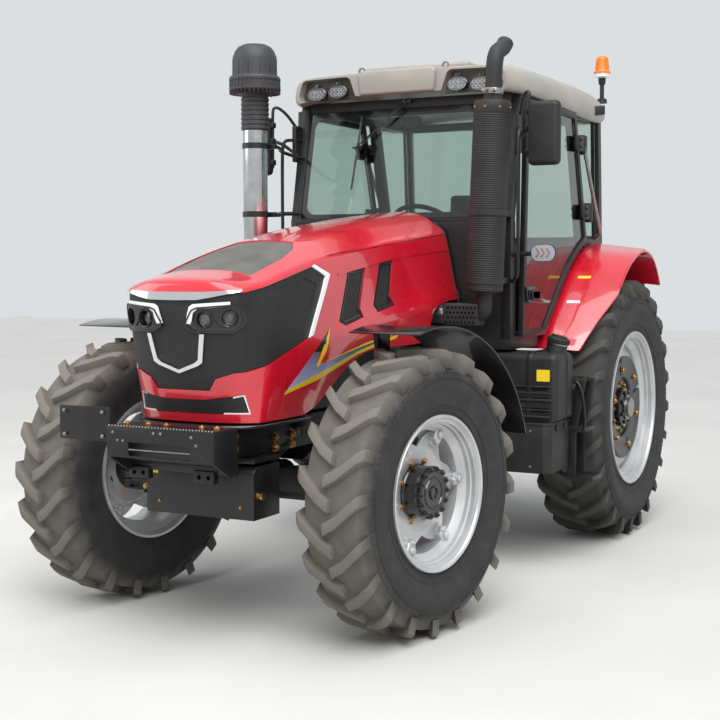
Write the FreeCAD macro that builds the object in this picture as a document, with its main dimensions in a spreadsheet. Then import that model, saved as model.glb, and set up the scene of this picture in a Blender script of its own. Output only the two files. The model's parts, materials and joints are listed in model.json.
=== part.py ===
"""A four-wheel-drive farm tractor with a cab, built as an assembly of separate pieces.

Millimetres. +X is the tractor's left, -Y its front, +Z up. The origin is on the ground, under
the middle of the whole tractor. Every piece stands where it is when the tractor is parked, with
its front wheels turned a little to its right, as rest_steer says.
"""
import FreeCAD, Part
import Sketcher
import math
import os

Vector = FreeCAD.Vector
Rotation = FreeCAD.Rotation

doc = FreeCAD.newDocument("FarmTractor")
sheet = doc.addObject("Spreadsheet::Sheet", "Sizes")

# Driving sizes: name, value in millimetres or degrees, what it measures.
SIZES = [
    ("wheelbase", 2880, "front axle to rear axle"),
    ("rear_axle_y", 1300, "rear axle behind the origin"),
    ("front_track_half", 865, "middle of the tractor to the middle of a front rim"),
    ("rear_track_half", 908, "middle of the tractor to the middle of a rear rim"),
    ("rest_steer", 9, "degrees that the front wheels are turned to the right"),
    ("kingpin_x", 660, "middle of the tractor to a kingpin"),
    ("kingpin_radius", 20, "kingpin"),
    ("kingpin_depth", 45, "kingpin inside its swivel housing"),
    ("seat_gap", 0.3, "between a piece and what carries it"),
    ("pivot_gap", 6, "free play between a steered or hinged piece and its neighbour"),
    ("front_tyre_radius", 702, "to the tips of the lugs"),
    ("front_tyre_width", 378, "section width"),
    ("front_lug_height", 38, "lug above the carcass"),
    ("front_rim_radius", 381, "outer flange"),
    ("front_rim_width", 330, "across the flanges"),
    ("rear_tyre_radius", 852, "to the tips of the lugs"),
    ("rear_tyre_width", 467, "section width"),
    ("rear_lug_height", 44, "lug above the carcass"),
    ("rear_rim_radius", 508, "outer flange"),
    ("rear_rim_width", 410, "across the flanges"),
    ("lug_width", 44, "lug at its tip, along the tread"),
    ("axle_beam_height", 150, "front axle beam"),
    ("axle_bowl_radius", 135, "front differential housing"),
    ("axle_room", 14, "free room kept round the front axle and its drive shaft"),
    ("knuckle_radius", 95, "swivel housing round a kingpin"),
    ("knuckle_height", 250, "swivel housing"),
    ("yoke_thickness", 34, "upper and lower arm that hold a kingpin"),
    ("steering_arm", 245, "kingpin to tie rod eye"),
    ("tie_rod_radius", 18, "tie rod"),
    ("eye_radius", 34, "tie rod eye"),
    ("stud_radius", 10, "stud under a steering arm, in the tie rod's eye"),
    ("frame_half_width", 225, "outer face of a side rail"),
    ("frame_rail_width", 70, "side rail"),
    ("frame_bottom_z", 880, "underside of the side rails"),
    ("frame_top_z", 1035, "top of the side rails"),
    ("frame_front_y", -2300, "front end of the side rails"),
    ("frame_rear_y", -560, "where the rails meet the clutch housing"),
    ("bracket_half_width", 300, "front weight bracket"),
    ("bracket_bottom_z", 905, "front weight bracket"),
    ("bracket_top_z", 1050, "front weight bracket"),
    ("bracket_front_y", -2500, "front face of the weight bracket"),
    ("bracket_wall", 16, "plate of the weight bracket"),
    ("bracket_slot_half", 176, "tow slot in the weight bracket"),
    ("plate_width", 305, "holder beside the weight bracket"),
    ("plate_height", 165, "holder beside the weight bracket"),
    ("toolbox_half_width", 310, "box under the front frame"),
    ("toolbox_front_y", -2180, "box under the front frame"),
    ("toolbox_length", 235, "box under the front frame"),
    ("toolbox_height", 285, "box under the front frame"),
    ("engine_half_width", 215, "engine block"),
    ("engine_front_y", -1700, "engine block"),
    ("engine_rear_y", -560, "engine block"),
    ("engine_top_z", 1600, "engine block"),
    ("sump_bottom_z", 745, "oil sump behind the front axle"),
    ("gearbox_half_width", 235, "transmission case"),
    ("gearbox_bottom_z", 560, "transmission case"),
    ("gearbox_top_z", 1190, "transmission case"),
    ("transfer_front_y", -150, "front face of the transfer case under the gearbox"),
    ("axle_tube_radius", 125, "rear axle tube next to the case"),
    ("axle_tube_end_radius", 95, "rear axle tube next to the wheel"),
    ("hood_wall", 6, "sheet of the hood"),
    ("hood_rear_y", -68, "rear edge of the hood"),
    ("hood_hinge_y", -70, "pins that the hood lifts about"),
    ("hood_hinge_z", 2085, "pins that the hood lifts about"),
    ("hood_ear_reach", 11, "cab's ears round those pins"),
    ("hood_pin_radius", 10, "pins that the hood lifts about"),
    ("cab_half_width", 750, "outer face of the cab posts"),
    ("cab_front_y", -40, "front of the cab"),
    ("cab_rear_y", 1700, "rear of the cab"),
    ("floor_z", 1300, "underside of the cab floor"),
    ("floor_thickness", 60, "cab floor"),
    ("post_width", 60, "cab posts"),
    ("sill_z", 2060, "lower edge of the windscreen"),
    ("post_top_z", 2830, "top of the cab posts, where the roof sits"),
    ("roof_overhang", 50, "cab roof outside the cab posts"),
    ("roof_lamp_inset", 150, "outer work lamp inside the cab posts"),
    ("roof_lamp_pitch", 191, "between two work lamps"),
    ("roof_top_z", 3060, "top of the cab roof"),
    ("roof_wall", 25, "roof moulding"),
    ("glass_thickness", 6, "every pane"),
    ("door_thickness", 30, "door frame"),
    ("door_gap", 8, "door to the cab posts"),
    ("hinge_pin_radius", 8, "door hinge pin"),
    ("door_rail_width", 42, "tube of the door frame"),
    ("fender_wall", 8, "rear fender sheet"),
    ("fender_outer_x", 1130, "outer edge of a rear fender"),
    ("fender_inner_x", 642, "inner wall of a rear fender"),
    ("fender_crown_x", 790, "where a rear fender starts to dip outboard"),
    ("fender_dip", 40, "drop of a rear fender at its outer edge"),
    ("front_fender_gap", 98, "front fender above the lugs"),
    ("front_fender_wall", 6, "front fender sheet"),
    ("fender_post_width", 22, "post of a front fender, along the axle"),
    ("muffler_x", 700, "muffler from the middle of the tractor"),
    ("muffler_y", -300, "muffler axis"),
    ("muffler_radius", 105, "muffler shell"),
    ("muffler_bottom_z", 1650, "muffler shell"),
    ("muffler_top_z", 2730, "muffler shell"),
    ("muffler_end", 14, "rounded end of the muffler shell"),
    ("tailpipe_radius", 48, "exhaust pipe above the muffler"),
    ("intake_x", -715, "air intake from the middle of the tractor"),
    ("intake_y", -520, "air intake axis"),
    ("intake_radius", 72, "air intake tube"),
    ("duct_z", 1478, "middle of the intake duct"),
    ("precleaner_radius", 155, "dome on top of the air intake"),
    ("tank_inner_x", 420, "inner face of the fuel tank"),
    ("tank_outer_x", 1050, "outer face of the fuel tank"),
    ("tank_front_y", -60, "front of the fuel tank"),
    ("tank_length", 310, "fuel tank"),
    ("tank_bottom_z", 880, "underside of the fuel tank"),
    ("tank_top_z", 1285, "top of the fuel tank"),
    ("neck_radius", 62, "filler neck of the fuel tank"),
    ("neck_height", 92, "filler neck of the fuel tank"),
    ("battery_outer_x", 1020, "outer face of the battery box"),
    ("battery_height", 300, "battery box"),
    ("step_width", 175, "tread of a step"),
    ("step_depth", 180, "tread of a step, front to rear"),
    ("seat_width", 480, "driver's seat"),
    ("column_length", 275, "steering column, from the console to the middle of the wheel"),
    ("steering_wheel_radius", 200, "rim of the steering wheel"),
    ("hitch_spread", 430, "lower link from the middle of the tractor, at its ball"),
    ("link_length", 820, "lower link from pin to ball"),
    ("lift_arm_length", 300, "lift arm from shaft to pin"),
    ("lift_arm_x", 195, "inner face of a lift arm"),
    ("rockshaft_y", 1665, "shaft of the lift arms"),
    ("rockshaft_z", 1120, "shaft of the lift arms"),
    ("lift_boss", 48, "round heel of a lift arm"),
    ("link_pin_y", 1635, "front pin of the lower links"),
    ("link_pin_z", 590, "front pin of the lower links"),
    ("hitch_ball_radius", 32, "eye at the end of a lower link"),
    ("hitch_pin_hole", 18.5, "radius of the hole in a lower link's ball"),
    ("drawbar_pin_hole", 16, "radius of the drawbar's pin hole"),
    ("pto_radius", 17.5, "power take-off stub shaft"),
]


class Size:
    """A number and the sheet expression that gives it, so that a shape is bound to the sheet."""

    def __init__(self, value, text):
        self.value = value
        self.text = text

    def __add__(self, other):
        return Size(self.value + number(other), f"({self.text} + {text(other)})")

    def __radd__(self, other):
        return Size(number(other) + self.value, f"({text(other)} + {self.text})")

    def __sub__(self, other):
        return Size(self.value - number(other), f"({self.text} - {text(other)})")

    def __rsub__(self, other):
        return Size(number(other) - self.value, f"({text(other)} - {self.text})")

    def __mul__(self, other):
        return Size(self.value * number(other), f"({self.text} * {text(other)})")

    __rmul__ = __mul__

    def __truediv__(self, other):
        return Size(self.value / number(other), f"({self.text} / {text(other)})")

    def __neg__(self):
        return Size(-self.value, f"(-1 * {self.text})")


def number(item):
    return item.value if isinstance(item, Size) else float(item)


def text(item):
    return item.text if isinstance(item, Size) else f"({float(item)})"


def sine(degrees):
    return Size(math.sin(math.radians(number(degrees))), f"sin({text(degrees)} * 1deg)")


def cosine(degrees):
    return Size(math.cos(math.radians(number(degrees))), f"cos({text(degrees)} * 1deg)")


class Named:
    """The sheet's sizes by name."""


S = Named()
for row, (alias, value, note) in enumerate(SIZES, start=1):
    sheet.set(f"A{row}", alias)
    sheet.set(f"B{row}", str(value))
    sheet.set(f"C{row}", note)
    sheet.setAlias(f"B{row}", alias)
    setattr(S, alias, Size(float(value), f"Sizes.{alias}"))
doc.recompute()

nodes = {}
PLANES = {"XY": 1, "XZ": -1, "YZ": 1}


def node(name, item):
    """Name a finished piece of the tractor."""
    item.Label = name
    nodes[name] = item
    return item


def bind(item, prop, size):
    item.setExpression(prop, text(size))


def place(item, x=0, y=0, z=0, turn=None):
    """Put a piece where x, y and z say, turned by an (axis, degrees) pair."""
    rotation = Rotation(Vector(*turn[0]), number(turn[1])) if turn else Rotation()
    item.Placement = FreeCAD.Placement(Vector(number(x), number(y), number(z)), rotation)
    for axis, size in zip("xyz", (x, y, z)):
        bind(item, f".Placement.Base.{axis}", size)
    return item


def box(name, x, y, z):
    """A block between two limits along each axis."""
    item = doc.addObject("Part::Box", name)
    for prop, (low, high) in zip(("Length", "Width", "Height"), (x, y, z)):
        bind(item, prop, high - low if isinstance(high, Size) or isinstance(low, Size)
             else Size(high - low, f"({high - low})"))
    return place(item, x[0], y[0], z[0])


AIM = {"X": ((0, 1, 0), 90), "Y": ((1, 0, 0), -90), "Z": None}


def rod(name, axis, radius, start, length, turn=None):
    """A round bar from a start point along +X, +Y or +Z, or along the way that turn gives."""
    item = doc.addObject("Part::Cylinder", name)
    bind(item, "Radius", radius)
    bind(item, "Height", length)
    return place(item, *start, turn=turn or AIM[axis])


def cone(name, axis, radii, start, length):
    item = doc.addObject("Part::Cone", name)
    bind(item, "Radius1", radii[0])
    bind(item, "Radius2", radii[1])
    bind(item, "Height", length)
    return place(item, *start, turn=AIM[axis])


def fuse(name, items):
    item = doc.addObject("Part::MultiFuse", name)
    item.Shapes = items
    item.Refine = True
    return item


def cut(name, base, tool):
    item = doc.addObject("Part::Cut", name)
    item.Base = base
    item.Tool = tool
    return item


def common(name, base, tool):
    item = doc.addObject("Part::Common", name)
    item.Base = base
    item.Tool = tool
    return item


def group(name, items):
    """Like pieces that share a node and don't touch."""
    item = doc.addObject("Part::Compound", name)
    item.Links = items
    return item


def mirrored(name, item):
    """The same piece on the tractor's other side."""
    twin = doc.addObject("Part::Mirroring", name)
    twin.Source = item
    twin.Base = Vector(0, 0, 0)
    twin.Normal = Vector(1, 0, 0)
    return twin


def draw(body, plane, points, level=0, name="outline"):
    """A closed sketch of straight lines on one of the body's own planes.

    Each point is (across, up); level is how far the sketch stands from the plane, along +X, +Y
    or +Z.
    """
    outline = body.newObject("Sketcher::SketchObject", name)
    role = f"{plane}_Plane"
    origin = [item for item in body.Origin.OriginFeatures if item.Role == role][0]
    outline.AttachmentSupport = (origin, "")
    outline.MapMode = "FlatFace"
    bind(outline, ".AttachmentOffset.Base.z", PLANES[plane] * as_size(level))
    spots = [Vector(number(across), number(up), 0) for across, up in points]
    count = len(spots)
    lines = [Part.LineSegment(spots[i], spots[(i + 1) % count]) for i in range(count)]
    outline.addGeometry(lines, False)
    joins = [Sketcher.Constraint("Coincident", i, 2, (i + 1) % count, 1) for i in range(count)]
    outline.addConstraint(joins)
    for i, point in enumerate(points):
        for kind, size in zip(("DistanceX", "DistanceY"), point):
            rule = outline.addConstraint(Sketcher.Constraint(kind, -1, 1, i, 1, number(size)))
            if isinstance(size, Size):
                outline.setExpression(f"Constraints[{rule}]", size.text)
    return outline


def as_size(item):
    return item if isinstance(item, Size) else Size(float(item), f"({float(item)})")


def pad(name, plane, points, low, high):
    """A plate: an outline drawn across one axis, between two limits along it."""
    body = doc.addObject("PartDesign::Body", name)
    level = high if plane == "XZ" else low
    outline = draw(body, plane, points, level)
    feature = body.newObject("PartDesign::Pad", name + "_pad")
    feature.Profile = outline
    bind(feature, "Length", as_size(high) - low)
    outline.Visibility = False
    return body


def turned(name, plane, points, about):
    """A turned piece: a half outline spun about the sketch's H_Axis or V_Axis."""
    body = doc.addObject("PartDesign::Body", name)
    outline = draw(body, plane, points)
    feature = body.newObject("PartDesign::Revolution", name + "_turn")
    feature.Profile = outline
    feature.ReferenceAxis = (outline, [about])
    feature.Angle = 360
    outline.Visibility = False
    return body


def lofted(name, plane, sections):
    """A body through a few sections: (level, points) pairs in order."""
    body = doc.addObject("PartDesign::Body", name)
    sketches = [draw(body, plane, points, level, f"section_{i}")
                for i, (level, points) in enumerate(sections)]
    feature = body.newObject("PartDesign::AdditiveLoft", name + "_loft")
    feature.Profile = sketches[0]
    feature.Sections = sketches[1:]
    feature.Ruled = True
    return body


def both_sides(points):
    """An outline drawn on the left half, with its mirror image added."""
    return points + [(-across if isinstance(across, Size) else -float(across), up)
                     for across, up in reversed(points)]


FRONT_Y = S.rear_axle_y - S.wheelbase


# Rim section: flange thickness, the disc's place along the axle, how far its edge stands outboard
# of that place, and the hub's back behind it.
RIM_FLANGE = 12
RIM_DISC = {"front": 10, "rear": 140}
RIM_RISE = {"front": 26, "rear": -46}
HUB_BACK = 60


def tyre(name, radius, width, rim_radius, rim_width, lug_height, count):
    """A farm tyre about local X: a carcass, and two rows of lugs that meet it in a herringbone."""
    tread = radius - lug_height
    bead = rim_radius - 22
    half = width / 2
    seat = rim_width / 2 - RIM_FLANGE - S.seat_gap
    side = [(seat, bead), (seat, rim_radius + 4),
            (half, bead + (tread - bead) * 0.48),
            (half * 0.97, bead + (tread - bead) * 0.72), (half * 0.76, tread - 10)]
    outline = [(0, tread)] + side[::-1] + [(-x, r) for x, r in side]
    carcass = turned(name + "_carcass", "XZ", outline, "H_Axis")
    crown = turned(name + "_tread", "XZ",
                   [(half * 0.80, radius - 6), (half * 0.93, radius - lug_height * 0.55),
                    (half * 0.95, tread - 60), (half * 0.7, tread - 60),
                    (half * 0.7, tread - 16), (0, tread - 8), (half * -0.08, tread - 8),
                    (half * -0.08, radius)], "H_Axis")
    bar = doc.addObject("Part::Feature", name + "_bar")
    bar.Shape = lug_bar(number(radius), number(half), number(S.lug_width))
    lugs = []
    for side_index in (0, 1):
        row = doc.addObject("Part::Feature", f"{name}_row_{side_index}")
        step = 360 / count
        start = step / 2 * side_index
        bars = [bar.Shape.rotated(Vector(), Vector(1, 0, 0), start + step * i)
                for i in range(count)]
        row.Shape = Part.makeCompound(bars)
        ring = crown if side_index == 0 else mirrored(name + "_tread_twin", crown)
        if side_index == 1:
            row.Shape = row.Shape.mirror(Vector(), Vector(1, 0, 0))
        lugs.append(common(f"{name}_lugs_{side_index}", ring, row))
    return fuse(name + "_shape", [carcass] + lugs)


def lug_bar(radius, half, width):
    """One lug's prism, seen from outside the tyre: a bar that bends near the tread's middle."""
    run = half * 0.86
    middle = [(-half * 0.08, -run * 0.55), (half * 0.30, -run * 0.30), (half, run * 0.40)]
    fore = [(x, y - width * 0.62) for x, y in middle]
    aft = [(x, y + width * 0.62) for x, y in reversed(middle)]
    points = [Vector(x, y, radius * 0.82) for x, y in fore + aft]
    face = Part.Face(Part.makePolygon(points + points[:1]))
    return face.extrude(Vector(0, 0, radius * 0.24))


def rim(name, radius, width, disc_x, rise, hub_radius, hub_length, nuts, arms):
    """A steel wheel about local X: rolled rim, dished disc and hub with a ring of nuts."""
    half = width / 2
    well = radius - 62
    outline = [(-half, radius), (-half + RIM_FLANGE, radius), (-half + RIM_FLANGE, radius - 26),
               (-half + 60, radius - 30), (-half + 90, well), (half - 90, well),
               (half - 60, radius - 30), (half - RIM_FLANGE, radius - 26),
               (half - RIM_FLANGE, radius),
               (half, radius), (half, radius - 36), (half - 56, radius - 42),
               (half - 84, well - 12), (-half + 84, well - 12), (-half + 56, radius - 42),
               (-half, radius - 36)]
    barrel = turned(name + "_barrel", "XZ", outline, "H_Axis")
    disc = turned(name + "_disc", "XZ",
                  [(disc_x, 0), (disc_x, hub_radius * 1.45), (disc_x + rise, well * 0.80),
                   (disc_x + rise, well - 11), (disc_x + rise - 14, well - 11),
                   (disc_x + rise - 14, well * 0.80), (disc_x - 14, hub_radius * 1.45),
                   (disc_x - 14, 0)], "H_Axis")
    scallops = []
    for i in range(arms):
        turn = 360 / arms * (i + 0.5)
        reach = well + 20
        hole = doc.addObject("Part::Cylinder", f"{name}_scallop_{i}")
        bind(hole, "Radius", well * 0.24)
        bind(hole, "Height", 140)
        place(hole, disc_x - 70, reach * cosine(turn), reach * sine(turn), turn=AIM["X"])
        scallops.append(hole)
    plate = cut(name + "_plate", disc, fuse(name + "_scallops", scallops))
    hub = turned(name + "_hub", "XZ",
                 [(disc_x - HUB_BACK, 0), (disc_x - HUB_BACK, hub_radius * 1.1),
                  (disc_x - 10, hub_radius * 1.1), (disc_x - 10, hub_radius), (disc_x + hub_length * 0.72, hub_radius),
                  (disc_x + hub_length * 0.72, hub_radius * 0.82),
                  (disc_x + hub_length, hub_radius * 0.76), (disc_x + hub_length, 0)], "H_Axis")
    bolts = []
    for i in range(nuts):
        turn = 360 / nuts * i
        reach = hub_radius * 1.26
        bolts.append(rod(f"{name}_nut_{i}", "X", 14,
                         (disc_x - 16, reach * cosine(turn), reach * sine(turn)), 42))
    return fuse(name + "_shape", [barrel, plate, hub] + bolts)


def wheel(side, end, item, name):
    """Stand a wheel's piece on its axle. side is 1 on the left and -1 on the right."""
    steer = (0, 0, 1), -S.rest_steer
    if end == "front":
        offset = (S.front_track_half - S.kingpin_x) * side
        x = S.kingpin_x * side + offset * cosine(S.rest_steer)
        y = FRONT_Y - offset * sine(S.rest_steer)
        return node(name, place(item, x, y, S.front_tyre_radius, turn=steer))
    return node(name, place(item, S.rear_track_half * side, S.rear_axle_y, S.rear_tyre_radius))


def make_wheels():
    front = dict(radius=S.front_tyre_radius, width=S.front_tyre_width,
                 rim_radius=S.front_rim_radius, rim_width=S.front_rim_width,
                 lug_height=S.front_lug_height, count=20)
    rear = dict(radius=S.rear_tyre_radius, width=S.rear_tyre_width,
                rim_radius=S.rear_rim_radius, rim_width=S.rear_rim_width,
                lug_height=S.rear_lug_height, count=24)
    for end, sizes in (("front", front), ("rear", rear)):
        left = tyre(f"{end}_left", **sizes)
        right = mirrored(f"{end}_right_tyre_shape", left)
        wheel(1, end, group(f"{end}_left_tyre_shape", [left]), f"{end}_left_tyre")
        wheel(-1, end, right, f"{end}_right_tyre")
    rims = {"front": dict(radius=S.front_rim_radius, width=S.front_rim_width,
                          disc_x=RIM_DISC["front"], rise=RIM_RISE["front"], hub_radius=120,
                          hub_length=125, nuts=8, arms=6),
            "rear": dict(radius=S.rear_rim_radius, width=S.rear_rim_width,
                         disc_x=RIM_DISC["rear"], rise=RIM_RISE["rear"], hub_radius=125,
                         hub_length=45, nuts=8, arms=4)}
    for end, sizes in rims.items():
        left = rim(f"{end}_left_rim", **sizes)
        right = mirrored(f"{end}_right_rim_shape", left)
        wheel(1, end, group(f"{end}_left_rim_shape", [left]), f"{end}_left_rim")
        wheel(-1, end, right, f"{end}_right_rim")


def make_front_axle():
    """Driven front axle: beam, differential bowl, and a yoke at each end for the kingpins."""
    z = S.front_tyre_radius
    half = S.axle_beam_height / 2
    yoke_z = S.knuckle_height / 2 + S.pivot_gap
    pieces = []
    beam_end = S.kingpin_x - S.knuckle_radius - S.pivot_gap * 3
    end_z = yoke_z + S.yoke_thickness
    profile = [(beam_end - 90, z + half * 0.85), (beam_end - 40, z + end_z), (beam_end, z + end_z),
               (beam_end, z - end_z), (beam_end - 40, z - end_z), (beam_end - 90, z - half * 0.85)]
    pieces.append(pad("axle_beam", "XZ", both_sides(profile), FRONT_Y - 62, FRONT_Y + 62))
    bowl = turned("axle_bowl", "YZ",
                  [(-S.axle_bowl_radius, 0), (-S.axle_bowl_radius * 0.8, S.axle_bowl_radius * 0.6),
                   (0, S.axle_bowl_radius), (S.axle_bowl_radius * 0.8, S.axle_bowl_radius * 0.6),
                   (S.axle_bowl_radius * 1.5, 70), (S.axle_bowl_radius * 1.5, 0)], "H_Axis")
    pieces.append(place(bowl, 0, FRONT_Y, z))
    for side in (1, -1):
        for way in (1, -1):
            low = z + yoke_z if way == 1 else z - yoke_z - S.yoke_thickness
            inner = (beam_end - 40) * side
            outer = S.kingpin_x * side
            span = (inner, outer) if side == 1 else (outer, inner)
            pieces.append(box(f"yoke_{side}_{way}", span, (FRONT_Y - 45, FRONT_Y + 45),
                              (low, low + S.yoke_thickness)))
            pieces.append(rod(f"yoke_eye_{side}_{way}", "Z", 50,
                              (S.kingpin_x * side, FRONT_Y, low), S.yoke_thickness))
            pin_low = z + S.knuckle_height / 2 - S.kingpin_depth if way == 1 \
                else z - yoke_z - S.yoke_thickness
            pieces.append(rod(f"kingpin_{side}_{way}", "Z", S.kingpin_radius,
                              (S.kingpin_x * side, FRONT_Y, pin_low),
                              S.kingpin_depth + S.pivot_gap + S.yoke_thickness))
    shaft = rod("front_drive_shaft", "Y", 38, (0, FRONT_Y + S.axle_bowl_radius * 1.4, z - 22),
                S.transfer_front_y - FRONT_Y - S.axle_bowl_radius * 1.4)
    pieces.append(shaft)
    node("front_axle", fuse("front_axle_shape", pieces))


def axle_room(word):
    """Room that a frame or case leaves free round the front axle and its drive shaft."""
    z = S.front_tyre_radius
    room = S.axle_room
    bowl = S.axle_bowl_radius
    side = 62 + room
    beam = box(f"beam_room_{word}", (-S.kingpin_x, S.kingpin_x), (FRONT_Y - side, FRONT_Y + side),
               (z - S.axle_beam_height / 2, z + S.axle_beam_height / 2 + room))
    round_bowl = rod(f"bowl_room_{word}", "Y", bowl + room, (0, FRONT_Y - bowl - 5, z),
                     (bowl + 5) * 2)
    start = FRONT_Y + bowl * 1.5 + 36
    tunnel = rod(f"shaft_room_{word}", "Y", 38 + room, (0, start, z - 22),
                 S.transfer_front_y - start)
    return fuse(f"axle_room_{word}", [beam, round_bowl, tunnel])


def steered(item, side):
    """Turn a piece drawn about its kingpin, with its wheels straight, to the parked angle."""
    return place(item, S.kingpin_x * side, FRONT_Y, S.front_tyre_radius,
                 turn=((0, 0, 1), -S.rest_steer))


def make_knuckles():
    """Swivel housings with their steering arms, and the narrow fenders that turn with them."""
    reach = S.front_track_half - S.kingpin_x
    arch = S.front_tyre_radius + S.front_fender_gap
    wall = S.front_fender_wall
    post_width = S.fender_post_width
    for side, word in ((1, "left"), (-1, "right")):
        hub_end = reach + RIM_DISC["front"] - HUB_BACK - S.seat_gap
        span = (0, hub_end * side) if side == 1 else (hub_end * side, 0)
        arm = box(f"arm_{word}", (-26, 26), (-S.steering_arm, -60), (-16, 16))
        eye = rod(f"arm_eye_{word}", "Z", S.eye_radius, (0, -S.steering_arm, -16), 32)
        housing = rod(f"housing_{word}", "Z", S.knuckle_radius, (0, 0, -S.knuckle_height / 2),
                      S.knuckle_height)
        spindle = rod(f"spindle_{word}", "X", 88, (span[0], 0, 0), hub_end)
        boss = box(f"fender_boss_{word}", (-34, 34), (40, 102),
                   (S.knuckle_height / 2 - 70, S.knuckle_height / 2))
        stud_end = -16 - S.pivot_gap - TIE_HEIGHT - 6
        stud = rod(f"arm_stud_{word}", "Z", S.stud_radius, (0, -S.steering_arm, stud_end),
                   -stud_end)
        bores = []
        for way in (1, -1):
            low = S.knuckle_height / 2 - S.kingpin_depth - 1 if way == 1 \
                else -S.knuckle_height / 2 - 5
            bores.append(rod(f"kingpin_bore_{word}_{way}", "Z", S.kingpin_radius + S.seat_gap,
                             (0, 0, low), S.kingpin_depth + 6))
        solid = fuse(f"knuckle_{word}_solid", [housing, spindle, arm, eye, boss, stud])
        shape = cut(f"knuckle_{word}_shape", solid, fuse(f"knuckle_{word}_bores", bores))
        node(f"knuckle_{word}", steered(shape, side))
        inner = reach - S.front_tyre_width / 2 - 10
        near = (inner - post_width) * side if side == 1 else -reach - S.front_tyre_width / 2
        ring = rod(f"fender_ring_{word}", "X", arch + wall, (near, 0, 0),
                   S.front_tyre_width + 10 + post_width)
        core = rod(f"fender_core_{word}", "X", arch, (-600, 0, 0), 1200)
        wedge = pad(f"fender_wedge_{word}", "YZ",
                    [(0, 0), (arch * -0.34, arch * 1.2), (arch * 0.6, arch * 1.4),
                     (arch * 1.5, arch * 0.9), (arch * 1.5, arch * 0.42)], -600, 600)
        sheet_part = common(f"fender_sheet_{word}", cut(f"fender_band_{word}", ring, core), wedge)
        post_x = (inner - post_width, inner) if side == 1 else (-inner, post_width - inner)
        post = pad(f"fender_post_{word}", "YZ",
                   [(76, S.knuckle_height / 2), (100, S.knuckle_height / 2),
                    (90, arch + wall / 2), (-30, arch + wall / 2),
                    (60, S.knuckle_height / 2 + 120)], post_x[0], post_x[1])
        fender = fuse(f"front_fender_{word}_shape", [sheet_part, post])
        node(f"front_fender_{word}", steered(fender, side))


TIE_HEIGHT = 32


def make_tie_rod():
    eye_y = FRONT_Y - S.steering_arm * cosine(S.rest_steer)
    eye_x = -S.steering_arm * sine(S.rest_steer)
    z = S.front_tyre_radius - 16 - S.pivot_gap
    low = z - TIE_HEIGHT
    bar = rod("tie_bar", "X", S.tie_rod_radius, (-S.kingpin_x + eye_x, eye_y, z - TIE_HEIGHT / 2),
              S.kingpin_x * 2)
    eyes, bores = [], []
    for side in (1, -1):
        x = S.kingpin_x * side + eye_x
        eyes.append(rod(f"tie_eye_{side}", "Z", S.eye_radius, (x, eye_y, low), TIE_HEIGHT))
        bores.append(rod(f"tie_bore_{side}", "Z", S.stud_radius + S.seat_gap, (x, eye_y, low - 5),
                         TIE_HEIGHT + 10))
    node("tie_rod", cut("tie_rod_shape", fuse("tie_rod_solid", [bar] + eyes),
                        fuse("tie_bores", bores)))


def make_front_frame():
    """Two side rails, the cross members that hold the axle, and the plates at the front."""
    inner = S.frame_half_width - S.frame_rail_width
    pieces = []
    for side in (1, -1):
        span = (inner, S.frame_half_width) if side == 1 else (-S.frame_half_width, -inner)
        pieces.append(box(f"rail_{side}", span, (S.frame_front_y, S.frame_rear_y),
                          (S.frame_bottom_z, S.frame_top_z)))
    pieces.append(box("front_member", (-inner, inner), (S.frame_front_y, S.frame_front_y + 120),
                      (S.frame_bottom_z, S.frame_top_z)))
    for way, word in ((-1, "fore"), (1, "aft")):
        near = S.axle_bowl_radius * 0.72 if way == -1 else S.axle_bowl_radius * 0.9
        reach = S.axle_bowl_radius + S.pivot_gap
        low = FRONT_Y - reach - 28 if way == -1 else FRONT_Y + reach + 60
        pieces.append(pad(f"hanger_{word}", "XZ",
                          both_sides([(S.frame_half_width, S.frame_top_z - 20),
                                      (S.frame_half_width, S.frame_bottom_z),
                                      (110, S.front_tyre_radius + 70)]), low, low + 28))
    node("front_frame", cut("front_frame_shape", fuse("front_frame_full", pieces),
                            axle_room("frame")))


def make_weight_bracket():
    """Front carrier: a slotted plate between two cheeks, with a holder on its right side."""
    wide, wall = S.bracket_half_width, S.bracket_wall
    y = S.bracket_front_y
    face = pad("bracket_face", "XZ", both_sides([(wide, S.bracket_top_z),
                                                 (wide, S.bracket_bottom_z)]), y, y + wall)
    slot = box("bracket_slot", (-S.bracket_slot_half, S.bracket_slot_half), (y - 10, y + 60),
               (S.bracket_bottom_z + 10, S.bracket_bottom_z + 74))
    top = box("bracket_top", (-wide, wide), (y, S.frame_front_y),
              (S.bracket_top_z - wall, S.bracket_top_z))
    cheeks = []
    for side in (1, -1):
        span = (wide - wall, wide) if side == 1 else (-wide, wall - wide)
        cheeks.append(pad(f"cheek_{side}", "YZ",
                          [(y, S.bracket_top_z), (y, S.bracket_bottom_z),
                           (S.frame_front_y - 60, S.bracket_bottom_z - 80),
                           (S.frame_front_y, S.bracket_bottom_z - 80),
                           (S.frame_front_y, S.bracket_top_z)], span[0], span[1]))
    back = box("bracket_back", (-wide, wide), (S.frame_front_y - wall, S.frame_front_y),
               (S.bracket_bottom_z - 80, S.bracket_top_z))
    arm_y = S.bracket_front_y + 95
    holder = box("holder_plate", (-wide - 50 - S.plate_width, -wide - 50),
                 (arm_y - 6, arm_y), (S.bracket_top_z - 90, S.bracket_top_z - 90 + S.plate_height))
    arm = box("holder_arm", (-wide - 120, -wide), (arm_y, arm_y + 14),
              (S.bracket_top_z - 70, S.bracket_top_z - 30))
    shape = fuse("bracket_body", [face, top, back, holder, arm] + cheeks)
    node("weight_bracket", cut("weight_bracket_shape", shape, slot))


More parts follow.
